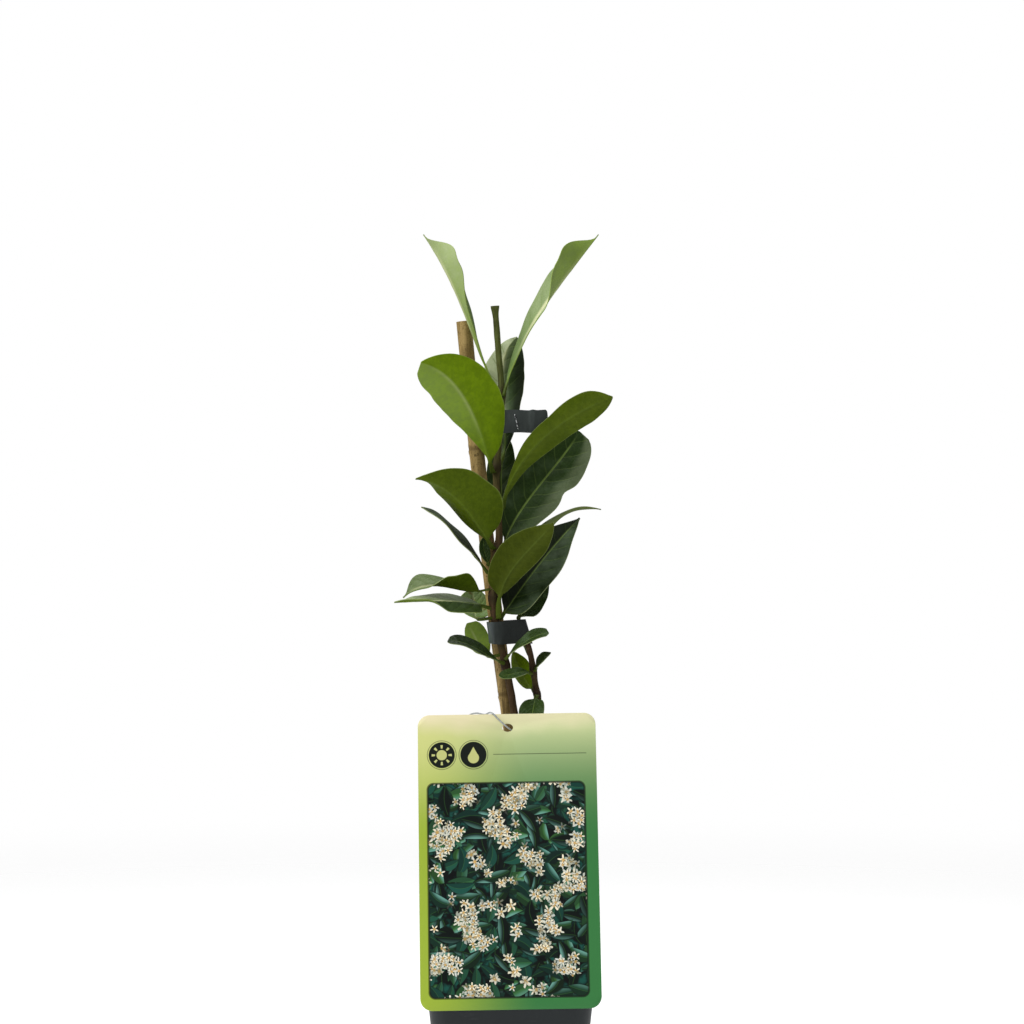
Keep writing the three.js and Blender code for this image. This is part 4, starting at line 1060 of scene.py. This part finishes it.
class Blade:
    """The shape of one leaf."""

    STALK_RADIUS = 0.95
    TIP_HALF_WIDTH = 0.35
    SINK = 0.75  # how much of the way to the stem's axis the stalk runs on
    RIPPLE = 0.05  # how uneven the outline is, over its reach

    def __init__(self, plan, thickness, stems, vein_pairs):
        self.plan = plan
        self.vein_pairs = vein_pairs
        self.rib = curve_through(plan["rib"])
        self.length = self.rib.length
        self.thickness = thickness * mix(0.6, 1.0, smooth(self.length / 50))
        base = Vector(plan["rib"][0])
        tip = Vector(plan["rib"][3])
        self.base = base
        stem_points = [point for stem in stems for point in stem.points]
        nearest = min(stem_points, key=lambda point: (point - base).length)
        self.root = base.lerp(nearest, self.SINK)
        self.lead = (self.root - base).length
        facing = math.atan2(tip.y - base.y, tip.x - base.x)
        if "facing" in plan:
            facing = math.radians(plan["facing"])
        self.level = Vector((math.sin(facing), -math.cos(facing), 0))
        self.stalk = plan.get("stalk", min(6, self.length * 0.1)) / self.length

    def section(self, walk):
        """The frame of the section at a place from 0, the root, to 1, the tip."""
        distance = mix(-self.lead, self.length, walk)
        centre, along = self.rib.at(max(distance, 0.0))
        if distance < 0:
            centre = self.base.lerp(self.root, -distance / self.lead)
        side = (self.level - along * self.level.dot(along)).normalized()
        up = side.cross(along)
        t = max(distance, 0.0) / self.length
        roll = math.radians(between(self.plan["roll"], t))
        right = side * math.cos(roll) + up * math.sin(roll)
        face = up * math.cos(roll) - side * math.sin(roll)
        return centre, right, face, t

    def vein(self, s, away, sign):
        """How near a point is to a side vein, from 0 to 1."""
        sideways = abs(away)
        rise = sideways * VEIN_SLANT + sideways * sideways * VEIN_SWEEP
        line = (s - rise) * self.vein_pairs + (0.5 if sign > 0 else 0.0)
        return smooth(1 - abs(line - math.floor(line) - 0.5) / 0.3)

    def point(self, section, across, upper):
        """A point of the upper or lower face, and what its finish needs to know."""
        centre, right, face, t = section
        s = (t - self.stalk) / (1 - self.stalk)
        plain = mix(self.STALK_RADIUS, self.TIP_HALF_WIDTH, smooth(s))
        sign = 1 if across >= 0 else -1
        ripple = 1 + self.RIPPLE * noise.noise(Vector((self.length * s * 0.11, self.length * 1.7, sign * 9)))
        half = max(plain, ripple * blade_reach(s, self.plan["right"] if across > 0 else self.plan["left"]))
        fold = math.radians(between(self.plan["fold"], t))
        wide = abs(across)
        curl = math.radians(self.plan["curl"]) * wide
        out, lift = across_half(wide * half, fold, curl)
        lift += self.plan["wave"] * wide**2 * math.sin(14 * t + 2 * sign) * smooth(s * 4) * smooth(half / 5)
        away = sign * wide * half / self.length
        flesh = smooth(s * 6)
        edge = 1 - wide**8
        open_blade = flesh * smooth((half - 1.5) / 3)
        near = self.vein(s, away, sign) * smooth((1 - wide) * 3) * open_blade
        if upper:
            groove = bell(wide * half, 0.9) * 0.28 * flesh * smooth((1 - s) * 3)
            height = self.thickness / 2 - groove - near * 0.1 + edge * 0.04
        else:
            ridge = bell(wide * half, 0.75) * mix(0.7, 0.1, smooth(s * 1.6)) * flesh
            height = -self.thickness / 2 - ridge - near * 0.08
        angle = across * math.pi / 2
        round_out = math.sin(angle) * self.STALK_RADIUS * (1 + 0.5 * smooth(-s * 8))
        round_lift = math.cos(angle) * self.STALK_RADIUS * 0.9 * (1 if upper else -1)
        stalk_part = 1 - smooth(s * 9 + 0.35)
        placed_out = mix(sign * out, round_out, stalk_part)
        placed_lift = mix(lift, 0.0, stalk_part)
        point = centre + right * placed_out + face * placed_lift
        depth = mix(height, round_lift, stalk_part)
        return point, face, depth, Vector((s, away, across)), fold + curl

    def build(self, bm, columns, rows):
        place = bm.verts.layers.float_vector.new("blade")
        look = bm.verts.layers.float_vector.new("look")
        seed = (sum(ord(letter) for letter in self.plan["name"]) % 97) / 97
        looks = Vector((self.plan["fresh"], seed, self.plan.get("worn", 0.0)))
        tone = bm.verts.layers.float.new("tone")
        sheen_shades = self.plan.get("tone", (0.0, 0.0, 0.0, 0.0))
        edge_sheen_shades = self.plan.get("edge_sheen_shade", (0.0, 0.0))
        tip_sheen_shade = self.plan.get("tip_sheen_shade", 0.0)
        upper_grid = bmesh.ops.create_grid(bm, x_segments=columns, y_segments=rows, size=1.0)["verts"]
        copied = bmesh.ops.duplicate(bm, geom=bm.verts[:] + bm.edges[:] + bm.faces[:])["geom"]
        lower_grid = [part for part in copied if isinstance(part, bmesh.types.BMVert)]
        lower_faces = [part for part in copied if isinstance(part, bmesh.types.BMFace)]
        sections = {}
        for verts, upper in ((upper_grid, True), (lower_grid, False)):
            for vert in verts:
                across = math.copysign(abs(vert.co.x) ** 1.35, vert.co.x)
                walk = (vert.co.y + 1) / 2
                key = round(walk, 5)
                if key not in sections:
                    sections[key] = self.section(walk)
                point, face, depth, marks, tilt = self.point(sections[key], across, upper)
                right = sections[key][1]
                leaning = face * math.cos(tilt) - right * math.copysign(math.sin(tilt), across)
                vert.co = point + leaning * depth
                vert[place] = marks
                vert[look] = looks
                # tone: painted sheen above 0 and painted shade below 0 for each half, growing towards the
                # edge and the tip
                left, right_half = sheen_shades[:2] if upper else sheen_shades[2:]
                shade = mix(left, right_half, (across > 0) * 0.5 + (across >= 0) * 0.5)
                shade += edge_sheen_shades[across > 0] * smooth((abs(across) - 0.25) / 0.5)
                vert[tone] = shade + tip_sheen_shade * smooth((marks.x - 0.5) / 0.4)
        for face in lower_faces:
            face.material_index = 1
        bmesh.ops.reverse_faces(bm, faces=lower_faces)
        rim = [edge for edge in bm.edges if edge.is_boundary]
        for face in bmesh.ops.bridge_loops(bm, edges=rim)["faces"]:
            face.material_index = 2
        for edge in rim:
            edge.smooth = False


class CLIMBER_OT_leaves(bpy.types.Operator):
    """Grow each leaf from its stem, with its two faces, midrib, veins and edge"""

    bl_idname = "climber.leaves"
    bl_label = "Leaves"

    COLUMNS = 24
    ROW_LENGTH = 1.4
    FEWEST_ROWS = 24

    def execute(self, context):
        settings = context.scene.climber_plant
        finishes = [
            leaf_finish("leaf_upper_face", settings, upper=True),
            leaf_finish("leaf_underside", settings, upper=False),
            rim_finish(settings),
        ]
        stems = [route_path(MAIN_STEM["route"]), route_path(SIDE_STEM["route"])]
        for plan in BLADES:
            blade = Blade(plan, settings.blade_thickness, stems, settings.vein_pairs)
            bm = bmesh.new()
            rows = max(self.FEWEST_ROWS, round(blade.length / self.ROW_LENGTH))
            blade.build(bm, self.COLUMNS, rows)
            finish_piece(bm, plan["name"] + "_blade", finishes, [plan["name"]])
        return {"FINISHED"}


# ---------------------------------------------------------------- stems and cane


class CLIMBER_OT_stems(bpy.types.Operator):
    """Make the two stems, swollen and dark at their leaf joints"""

    bl_idname = "climber.stems"
    bl_label = "Stems"

    SIDES = 24
    STEP = 0.9
    BARE_FROM = 420

    def stem(self, plan, name, finish):
        path = route_path(plan["route"])
        low = plan["route"][0][2]
        high = plan["route"][-1][2]

        def joint_at(height):
            return max(bell(height - node, plan["spread"]) for node in plan["nodes"])

        def radius_at(centre, outward):
            plain = mix(plan["root_radius"], plan["tip_radius"], (centre.z - low) / (high - low))
            lump = noise.noise(Vector((outward.x * 1.5, outward.y * 1.5, centre.z * 0.25))) * 0.12
            ring = -0.12 * max(bell(centre.z - node - 1.5, 0.5) for node in plan["nodes"])
            return plain + plan["swell"] * joint_at(centre.z) + lump + ring

        bm = bmesh.new()
        joint = bm.verts.layers.float.new("joint")
        rings = tube_rings(path, radius_at, self.SIDES, self.STEP)
        for ring in skin(bm, rings):
            for vert in ring:
                vert[joint] = joint_at(vert.co.z) * smooth((self.BARE_FROM - vert.co.z) / 20)
        finish_piece(bm, name + "_bark", [finish], [name], sharp_angle=50)

    def execute(self, context):
        finish = bark_finish(context.scene.climber_plant)
        self.stem(MAIN_STEM, "stem_main", finish)
        self.stem(SIDE_STEM, "stem_side", finish)
        return {"FINISHED"}


class CLIMBER_OT_cane(bpy.types.Operator):
    """Make the bamboo cane, with a groove and a second ridge above each joint, and a hollow top"""

    bl_idname = "climber.cane"
    bl_label = "Cane"

    SIDES = 40
    STEP = 1.0
    BORE_RADIUS = 1.3
    BORE_DEPTH = 14.0

    def execute(self, context):
        settings = context.scene.climber_holder
        path = route_path(CANE_ROUTE)

        def radius_at(centre, outward):
            swell = 0.0
            for height in CANE_JOINTS:
                above = centre.z - height
                swell = max(swell, 0.35 * bell(above, 1.1), 0.16 * bell(above - 3.2, 1.0))
                swell -= 0.12 * bell(above - 1.7, 0.45)
            lump = noise.noise(Vector((outward.x, outward.y, centre.z * 0.02))) * 0.14
            return CANE_RADIUS + swell + lump - 0.1

        bm = bmesh.new()
        joint = bm.verts.layers.float.new("joint")
        rings = tube_rings(path, radius_at, self.SIDES, self.STEP)
        rim = rings[-1]
        top, along = path.at(path.length)
        bore = self.BORE_RADIUS
        for radius, depth in ((bore + 0.3, 0.0), (bore, 0.5), (bore, self.BORE_DEPTH)):
            rings.append([top + (point - top).normalized() * radius - along * depth for point in rim])
        made = skin(bm, rings)
        for ring in made:
            for vert in ring:
                vert[joint] = max(bell(vert.co.z - height - 1.4, 1.4) for height in CANE_JOINTS)
        inner = {vert for ring in made[-3:] for vert in ring}
        for face in bm.faces:
            if any(vert in inner for vert in face.verts):
                face.material_index = 1
        finishes = [cane_finish(settings), cane_end_finish(settings)]
        finish_piece(bm, "cane_culm", finishes, ["cane"], sharp_angle=45)
        return {"FINISHED"}


# ---------------------------------------------------------------- pot and soil


class CLIMBER_OT_pot(bpy.types.Operator):
    """Mould the square pot, with its stepped rim, round corners and drain holes"""

    bl_idname = "climber.pot"
    bl_label = "Pot"

    BASE_WIDTH = 67.0
    BASE_CORNER = 9.0
    RIM_CORNER = 11.0
    RIM_DROP = 9.0
    RIM_STEP = 2.0
    WALL = 1.6
    FLOOR = 3.0
    FOOT_ROUND = 0.9
    LIP_RADIUS = 0.8
    DRAIN_RADIUS = 4.0
    DRAIN_OFFSET = 22.0
    DRAIN_COUNT = 8

    def level(self, settings, z, inset=0.0):
        """The body's outline at a height."""
        top_width = settings.pot_width - 2 * self.RIM_STEP
        width = mix(self.BASE_WIDTH, top_width, z / (settings.pot_height - self.RIM_DROP))
        corner = mix(self.BASE_CORNER, self.RIM_CORNER - self.RIM_STEP, z / settings.pot_height)
        return rounded_square(width - 2 * inset, corner - inset * 0.5, z)

    def rim(self, settings, inset, z):
        return rounded_square(settings.pot_width - 2 * inset, self.RIM_CORNER - inset, z)

    def execute(self, context):
        settings = context.scene.climber_holder
        top = settings.pot_height
        rim_bottom = top - self.RIM_DROP
        rings = []
        for i in range(5):
            turn = math.pi / 2 * i / 4
            height = self.FOOT_ROUND * (1 - math.cos(turn))
            rings.append(self.level(settings, height, self.FOOT_ROUND * (1 - math.sin(turn))))
        for i in range(1, 12):
            rings.append(self.level(settings, mix(self.FOOT_ROUND, rim_bottom - 2.2, i / 11)))
        rings.append(self.level(settings, rim_bottom - 1.4, -0.25))
        under_rim = ((1.2, rim_bottom - 0.7), (0.35, rim_bottom - 0.15), (0.0, rim_bottom + 0.5))
        for inset, height in (*under_rim, (0.0, top - 3.0)):
            rings.append(self.rim(settings, inset, height))
        for i in range(7):
            turn = math.pi * i / 6
            inset = self.LIP_RADIUS - self.LIP_RADIUS * math.cos(turn)
            rings.append(self.rim(settings, inset, top - self.LIP_RADIUS + self.LIP_RADIUS * math.sin(turn)))
        rings.append(self.rim(settings, self.WALL, rim_bottom + 2))
        rings.append(self.level(settings, rim_bottom - 2, self.WALL))
        rings.append(self.level(settings, self.FLOOR, self.WALL))
        bm = bmesh.new()
        made = skin(bm, rings, cap_start=False, cap_end=False)
        holes = []
        for i in range(self.DRAIN_COUNT):
            angle = TURN * i / self.DRAIN_COUNT
            reach = self.DRAIN_OFFSET / max(abs(math.cos(angle)), abs(math.sin(angle)))
            middle = (reach * math.cos(angle), reach * math.sin(angle))
            low = ellipse(*middle, self.DRAIN_RADIUS, self.DRAIN_RADIUS, 24)
            high = [point + Vector((0, 0, self.FLOOR)) for point in low]
            holes.append(skin(bm, [low, high], cap_start=False, cap_end=False))
        for level in (0, -1):
            fill_between(bm, [made[level]] + [hole[level] for hole in holes])
        finish_piece(bm, "pot_moulding", [pot_finish(settings)], ["pot"], sharp_angle=40)
        return {"FINISHED"}


def soil_height(x, y):
    """The uneven height of the soil, with its crumbs."""
    lumps = math.sin(x * 0.31 + 1.2) * math.cos(y * 0.27) + 0.6 * math.sin(x * 0.13 - y * 0.21 + 0.5)
    crumbs = noise.fractal(Vector((x * 0.35, y * 0.35, 0.0)), 1.0, 2.0, 4)
    return SOIL_TOP + lumps + crumbs * 0.9


class CLIMBER_OT_soil(bpy.types.Operator):
    """Fill the pot with peat and scatter crumbs and white grit over it"""

    bl_idname = "climber.soil"
    bl_label = "Soil"

    BOTTOM = 3.3
    RINGS = 40
    CRUMBS = 520
    CRUMB_REACH = 39.0
    GRIT_EVERY = 17
    SEED = 11

    def execute(self, context):
        settings = context.scene.climber_holder
        pot = CLIMBER_OT_pot
        finish = soil_finish(settings)

        def outline(z, inset):
            return pot.level(pot, settings, z, inset)

        edge_height = SOIL_TOP - 1.6
        gap = pot.WALL + 0.15
        rings = [outline(self.BOTTOM, gap)]
        for i in range(1, 7):
            rings.append(outline(mix(self.BOTTOM, edge_height, i / 6), gap))
        for i in range(1, self.RINGS):
            scale = 1 - i / self.RINGS
            ring = []
            for point in rings[6]:
                x = point.x * scale
                y = point.y * scale
                ring.append(Vector((x, y, soil_height(x, y))))
            rings.append(ring)
        bm = bmesh.new()
        skin(bm, rings)
        finish_piece(bm, "soil_peat", [finish], ["soil"])
        self.crumbs(finish)
        return {"FINISHED"}

    def crumbs(self, finish):
        chance = random.Random(self.SEED)
        bm = bmesh.new()
        half = self.CRUMB_REACH
        for i in range(self.CRUMBS):
            x = chance.uniform(-half, half)
            y = chance.uniform(-half, half)
            size = chance.uniform(0.35, 1.1) if chance.random() < 0.85 else chance.uniform(1.1, 2.0)
            made = bmesh.ops.create_icosphere(bm, subdivisions=1, radius=size)["verts"]
            stretch = (chance.uniform(0.7, 1.5), chance.uniform(0.7, 1.3), chance.uniform(0.45, 0.9))
            bmesh.ops.scale(bm, vec=stretch, verts=made)
            for vert in made:
                vert.co *= chance.uniform(0.8, 1.15)
            turn = Matrix.Rotation(chance.uniform(0, TURN), 3, "Z")
            bmesh.ops.rotate(bm, cent=(0, 0, 0), matrix=turn, verts=made)
            bmesh.ops.translate(bm, vec=(x, y, soil_height(x, y) + size * 0.2), verts=made)
            if i % self.GRIT_EVERY == 0:
                for face in {face for vert in made for face in vert.link_faces}:
                    face.material_index = 1
        finish_piece(bm, "soil_crumbs", [finish, perlite_finish()], [])


# ---------------------------------------------------------------- ties


def circle_at(route, height, radius):
    """Where a route passes a height, as a circle around it."""
    z = min(height, route[-1][2])
    upper = next(i for i, point in enumerate(route) if point[2] >= z)
    x0, y0, z0 = route[upper - 1]
    x1, y1, z1 = route[upper]
    t = (z - z0) / (z1 - z0)
    return mix(x0, x1, t), mix(y0, y1, t), radius


def loop_around(circles, count):
    """The shortest loop around circles, as evenly spaced points with their outward directions."""
    points = []
    for x, y, radius in circles:
        for i in range(48):
            angle = TURN * i / 48
            points.append(Vector((x + radius * math.cos(angle), y + radius * math.sin(angle))))
    outline = [points[i].to_3d() for i in geometry.convex_hull_2d(points)]
    path = Path(outline + outline[:1])
    loop = []
    for i in range(count):
        place, along = path.at(path.length * i / count)
        loop.append((place, Vector((along.y, -along.x, 0))))
    return loop


class CLIMBER_OT_ties(bpy.types.Operator):
    """Wrap the two tapes around the cane and the stems"""

    bl_idname = "climber.ties"
    bl_label = "Ties"

    THICKNESS = 0.6
    CLEARANCE = 0.35
    AROUND = 120
    LEVELS = 12
    TAIL_END = (19.6, -7.2)
    TAIL_STEPS = 36
    TAIL_CORNER = 1.7
    TAIL_SLANT = 0.7
    STAPLE_TOP = (2.2, -6.35, 370.9)
    STAPLE_FOOT = (3.9, -6.6, 363.4)
    STAPLE_RADIUS = 0.28

    def held(self, route, radius, bottom):
        heights = (bottom, bottom + TAPE_HEIGHT)
        return [circle_at(route, height, radius + self.CLEARANCE) for height in heights]

    def band(self, bm, circles, low_at, high_at, seed):
        """A closed band of tape whose lower and upper edges may run unevenly."""
        loops = (loop_around(circles[::2], self.AROUND), loop_around(circles[1::2], self.AROUND))
        rings = []
        sections = [(i / self.LEVELS, self.THICKNESS) for i in range(self.LEVELS + 1)]
        sections += [(1 - i / self.LEVELS, 0.0) for i in range(self.LEVELS + 1)]
        for level, out in [*sections, sections[0]]:
            ring = []
            for (low_place, outward), (high_place, _) in zip(*loops):
                place = low_place.lerp(high_place, level)
                z = mix(low_at(place.x), high_at(place.x), level)
                crease = noise.noise(Vector((place.x * 0.25, place.y * 0.25 + seed, z * 0.12))) * 0.25
                point = place + outward * (out + max(crease, -0.2))
                ring.append(Vector((point.x, point.y, z)))
            rings.append(ring)
        skin(bm, rings, cap_start=False, cap_end=False)
        bmesh.ops.remove_doubles(bm, verts=bm.verts, dist=1e-4)

    def execute(self, context):
        finish = tape_finish(context.scene.climber_holder)
        self.upper(finish)
        self.lower(finish)
        return {"FINISHED"}

    def upper(self, finish):
        circles = self.held(CANE_ROUTE, CANE_RADIUS, UPPER_TIE_BOTTOM)
        circles += self.held(MAIN_STEM["route"], MAIN_STEM["root_radius"], UPPER_TIE_BOTTOM)

        def low_at(x):
            return UPPER_TIE_BOTTOM + 0.15 * math.sin(x * 0.4)

        def high_at(x):
            bump = 0.45 * bell(x - 11.5, 1.3)
            return UPPER_TIE_BOTTOM + TAPE_HEIGHT + 0.2 * math.sin(x * 0.35 + 1) + bump

        bm = bmesh.new()
        self.band(bm, circles, low_at, high_at, seed=3.0)
        stem_x, stem_y, stem_radius = circles[2]
        start = Vector((stem_x, stem_y - stem_radius - self.THICKNESS * 0.5, 0))
        end = Vector((*self.TAIL_END, 0)) + Vector((0, self.THICKNESS * 0.5, 0))
        middle = start.lerp(end, 0.5) + Vector((0, -1.0, 0))
        handles = (start.lerp(middle, 0.66), end.lerp(middle, 0.66))
        path = Path(geometry.interpolate_bezier(start, *handles, end, 40))
        rings = []
        for i in range(self.TAIL_STEPS + 1):
            rest = path.length * (1 - i / self.TAIL_STEPS) ** 1.5
            place, along = path.at(path.length - rest)
            outward = Vector((along.y, -along.x, 0))
            missing = max(self.TAIL_CORNER - rest, 0.0)
            corner = self.TAIL_CORNER - math.sqrt(self.TAIL_CORNER**2 - missing**2)
            slant = smooth(1 - rest / 3) * self.TAIL_SLANT
            front = []
            back = []
            for level in range(self.LEVELS + 1):
                t = level / self.LEVELS
                crease = noise.noise(Vector((place.x * 0.2, 7.0, t * 1.4))) * 0.3
                z = mix(low_at(place.x) + corner, high_at(place.x) - corner, t)
                core = place + outward * crease + Vector((-slant * t, 0, z))
                front.append(core + outward * self.THICKNESS / 2)
                back.append(core - outward * self.THICKNESS / 2)
            rings.append([*front, *reversed(back)])
        skin(bm, rings)
        finish_piece(bm, "tie_upper_tape", [finish], ["tie_upper"], sharp_angle=50)
        self.staple()

    def staple(self):
        """The wire that closes the tape beside the stem."""
        high = Vector(self.STAPLE_TOP)
        low = Vector(self.STAPLE_FOOT)
        inward = Vector((0, 1.4, 0))
        along = (low - high).normalized()
        points = [high + inward, high + inward * 0.3, high + along * 0.4]
        points += [low - along * 0.4, low + inward * 0.3, low + inward]
        path = route_path([tuple(point) for point in points], steps=6)
        bm = bmesh.new()
        skin(bm, tube_rings(path, lambda centre, outward: self.STAPLE_RADIUS, 10, 0.4))
        finish_piece(bm, "tie_upper_staple", [staple_finish()], [], sharp_angle=60)

    def lower(self, finish):
        circles = self.held(CANE_ROUTE, CANE_RADIUS, LOWER_TIE_BOTTOM)
        swollen = MAIN_STEM["root_radius"] + MAIN_STEM["swell"]
        circles += self.held(MAIN_STEM["route"], swollen, LOWER_TIE_BOTTOM)
        circles += self.held(SIDE_STEM["route"], SIDE_STEM["root_radius"], LOWER_TIE_BOTTOM)

        def low_at(x):
            return LOWER_TIE_BOTTOM - 0.2 + 0.2 * math.sin(x * 0.3)

        def high_at(x):
            return LOWER_TIE_BOTTOM + TAPE_HEIGHT - 0.9 + (x + 12) * 0.08

        bm = bmesh.new()
        self.band(bm, circles, low_at, high_at, seed=8.0)
        finish_piece(bm, "tie_lower_tape", [finish], ["tie_lower"], sharp_angle=50)


# ---------------------------------------------------------------- label


class CLIMBER_OT_label(bpy.types.Operator):
    """Cut the card with its round corners and hanging hole, and lean it over the pot"""

    bl_idname = "climber.label"
    bl_label = "Label"

    CORNER = 6.0
    EDGE = 0.12

    def outline(self):
        points = []
        corners = ((1, 0, -90), (1, 1, 0), (-1, 1, 90), (-1, 0, 180))
        for side, end, first in corners:
            x = side * (LABEL_WIDTH / 2 - self.CORNER)
            y = end * LABEL_HEIGHT + (self.CORNER if end == 0 else -self.CORNER)
            points += arc(x, y, self.CORNER, math.radians(first), math.radians(first + 90), 12)
        return points

    def walls(self, bm, points, grow):
        """The card's edge along an outline, with a small round at the front and the back."""
        middle = sum(points, Vector()) / len(points)
        rings = []
        for depth, inset in ((0, 1), (0.3, 0.3), (1, 0), (-1, 0), (-0.3, 0.3), (0, 1)):
            z = depth * self.EDGE if depth > 0 or not rings else LABEL_THICKNESS + depth * self.EDGE
            rings.append([])
            for point in points:
                away = (point - middle).normalized() * (-grow * inset * self.EDGE)
                rings[-1].append(point + away + Vector((0, 0, z)))
        made = skin(bm, rings, cap_start=False, cap_end=False)
        return made[0], made[-1]

    def execute(self, context):
        bm = bmesh.new()
        uv = bm.loops.layers.uv.new("UVMap")
        edge_back, edge_front = self.walls(bm, self.outline(), grow=1)
        hole_back, hole_front = self.walls(bm, ellipse(*LABEL_HOLE, 40), grow=-1)
        for index, loops in ((1, (edge_back, hole_back)), (0, (edge_front, hole_front))):
            for part in fill_between(bm, loops):
                if isinstance(part, bmesh.types.BMFace):
                    part.material_index = index
        for face in bm.faces:
            for loop in face.loops:
                co = loop.vert.co
                loop[uv].uv = (co.x / LABEL_WIDTH + 0.5, co.y / LABEL_HEIGHT)
        lean = Matrix.Rotation(math.radians(90 - LABEL_LEAN), 4, "X")
        turn = Matrix.Rotation(math.radians(LABEL_TURN), 4, "Z")
        bmesh.ops.transform(bm, matrix=Matrix.Translation(LABEL_FOOT) @ lean @ turn, verts=bm.verts)
        finishes = [label_finish(context.scene.climber_label), label_back_finish()]
        finish_piece(bm, "label_print", finishes, ["label"], sharp_angle=35)
        return {"FINISHED"}


class CLIMBER_OT_label_loop(bpy.types.Operator):
    """Bend the clear thread that hangs the label on the plant"""

    bl_idname = "climber.label_loop"
    bl_label = "Label loop"

    RADIUS = 0.4
    SIDES = 12

    def execute(self, context):
        path = route_path(LOOP_ROUTE, closed=True)
        rings = tube_rings(path, lambda centre, outward: self.RADIUS, self.SIDES, 0.8)
        bm = bmesh.new()
        made = skin(bm, rings[:-1], cap_start=False, cap_end=False)
        bmesh.ops.bridge_loops(bm, edges=edges_of(bm, (made[0], made[-1])))
        finish_piece(bm, "label_thread", [thread_finish()], ["label_loop"])
        return {"FINISHED"}


# ---------------------------------------------------------------- stage


class CLIMBER_OT_stage(bpy.types.Operator):
    """Set the level camera, the soft light and the plain pale floor"""

    bl_idname = "climber.stage"
    bl_label = "Stage"

    SENSOR = 36.0
    PICTURE = 1024
    FLOOR_RADIUS = 1.6

    def camera(self, settings):
        data = bpy.data.cameras.new("camera")
        data.sensor_width = self.SENSOR
        data.lens = self.SENSOR * settings.scale * settings.distance / self.PICTURE
        camera = add_object("camera", data)
        camera.location = (settings.eye_right * MM, -settings.distance * MM, settings.eye_height * MM)
        camera.rotation_euler = (math.pi / 2, 0, 0)
        bpy.context.scene.camera = camera

    def lamp(self, name, place, aim, size, power):
        data = bpy.data.lights.new(name, "AREA")
        data.shape = "RECTANGLE"
        data.size, data.size_y = size
        data.energy = power
        lamp = add_object(name, data)
        lamp.location = place
        lamp.rotation_euler = (Vector(aim) - Vector(place)).to_track_quat("-Z", "Y").to_euler()
        lamp.visible_camera = False

    def floor(self, settings):
        finish = Finish("floor", roughness=0.9)
        x, y, _ = finish.split(finish.place())
        reach = (x * x + y * y) ** 0.5
        finish.set(base_color=settings.floor, alpha=reach.step(self.FLOOR_RADIUS, 0.3))
        bm = bmesh.new()
        bmesh.ops.create_circle(bm, cap_ends=True, segments=128, radius=self.FLOOR_RADIUS)
        floor = add_object("floor", new_mesh(bm, "floor", [finish.material]))

    def execute(self, context):
        settings = context.scene.climber_stage
        self.camera(settings)
        self.floor(settings)
        world = bpy.data.worlds.new("studio")
        world.use_nodes = True
        tree = world.node_tree
        backdrop = tree.nodes["Background"]
        backdrop.inputs["Color"].default_value = (1, 1, 1, 1)
        seen = tree.nodes.new("ShaderNodeLightPath").outputs["Is Camera Ray"]
        strength = tree.nodes.new("ShaderNodeMapRange")
        strength.inputs["To Min"].default_value = settings.soft_light
        tree.links.new(seen, strength.inputs["Value"])
        tree.links.new(strength.outputs["Result"], backdrop.inputs["Strength"])
        context.scene.world = world
        context.scene.view_settings.view_transform = "Standard"
        middle = (0, 0, 0.28)
        self.lamp("key", (-1.1, -0.9, 1.5), middle, (0.9, 0.9), settings.key_light)
        self.lamp("top", (0.1, 0.4, 1.55), middle, (1.2, 1.2), settings.top_light)
        return {"FINISHED"}


# ---------------------------------------------------------------- panel and registration


class CLIMBER_PT_panel(bpy.types.Panel):
    """The climber's pieces, in the order that they are made"""

    bl_idname = "CLIMBER_PT_panel"
    bl_label = "Climber"
    bl_space_type = "VIEW_3D"
    bl_region_type = "UI"
    bl_category = "Climber"

    def draw(self, context):
        for name in OPERATOR_NAMES:
            self.layout.operator("climber." + name)


SETTINGS = {
    "climber_plant": PlantSettings,
    "climber_holder": HolderSettings,
    "climber_label": LabelSettings,
    "climber_stage": StageSettings,
}
OPERATOR_NAMES = ("stage", "pot", "soil", "cane", "stems", "ties", "label", "label_loop", "leaves")
CLASSES = (
    *SETTINGS.values(),
    CLIMBER_OT_stage,
    CLIMBER_OT_pot,
    CLIMBER_OT_soil,
    CLIMBER_OT_cane,
    CLIMBER_OT_stems,
    CLIMBER_OT_ties,
    CLIMBER_OT_label,
    CLIMBER_OT_label_loop,
    CLIMBER_OT_leaves,
    CLIMBER_PT_panel,
)


def register():
    for item in CLASSES:
        bpy.utils.register_class(item)
    for name, settings in SETTINGS.items():
        setattr(bpy.types.Scene, name, PointerProperty(type=settings))


def unregister():
    for name in SETTINGS:
        delattr(bpy.types.Scene, name)
    for item in reversed(CLASSES):
        bpy.utils.unregister_class(item)


def main():
    register()
    for name in OPERATOR_NAMES:
        getattr(bpy.ops.climber, name)()


if __name__ == "__main__":
    main()
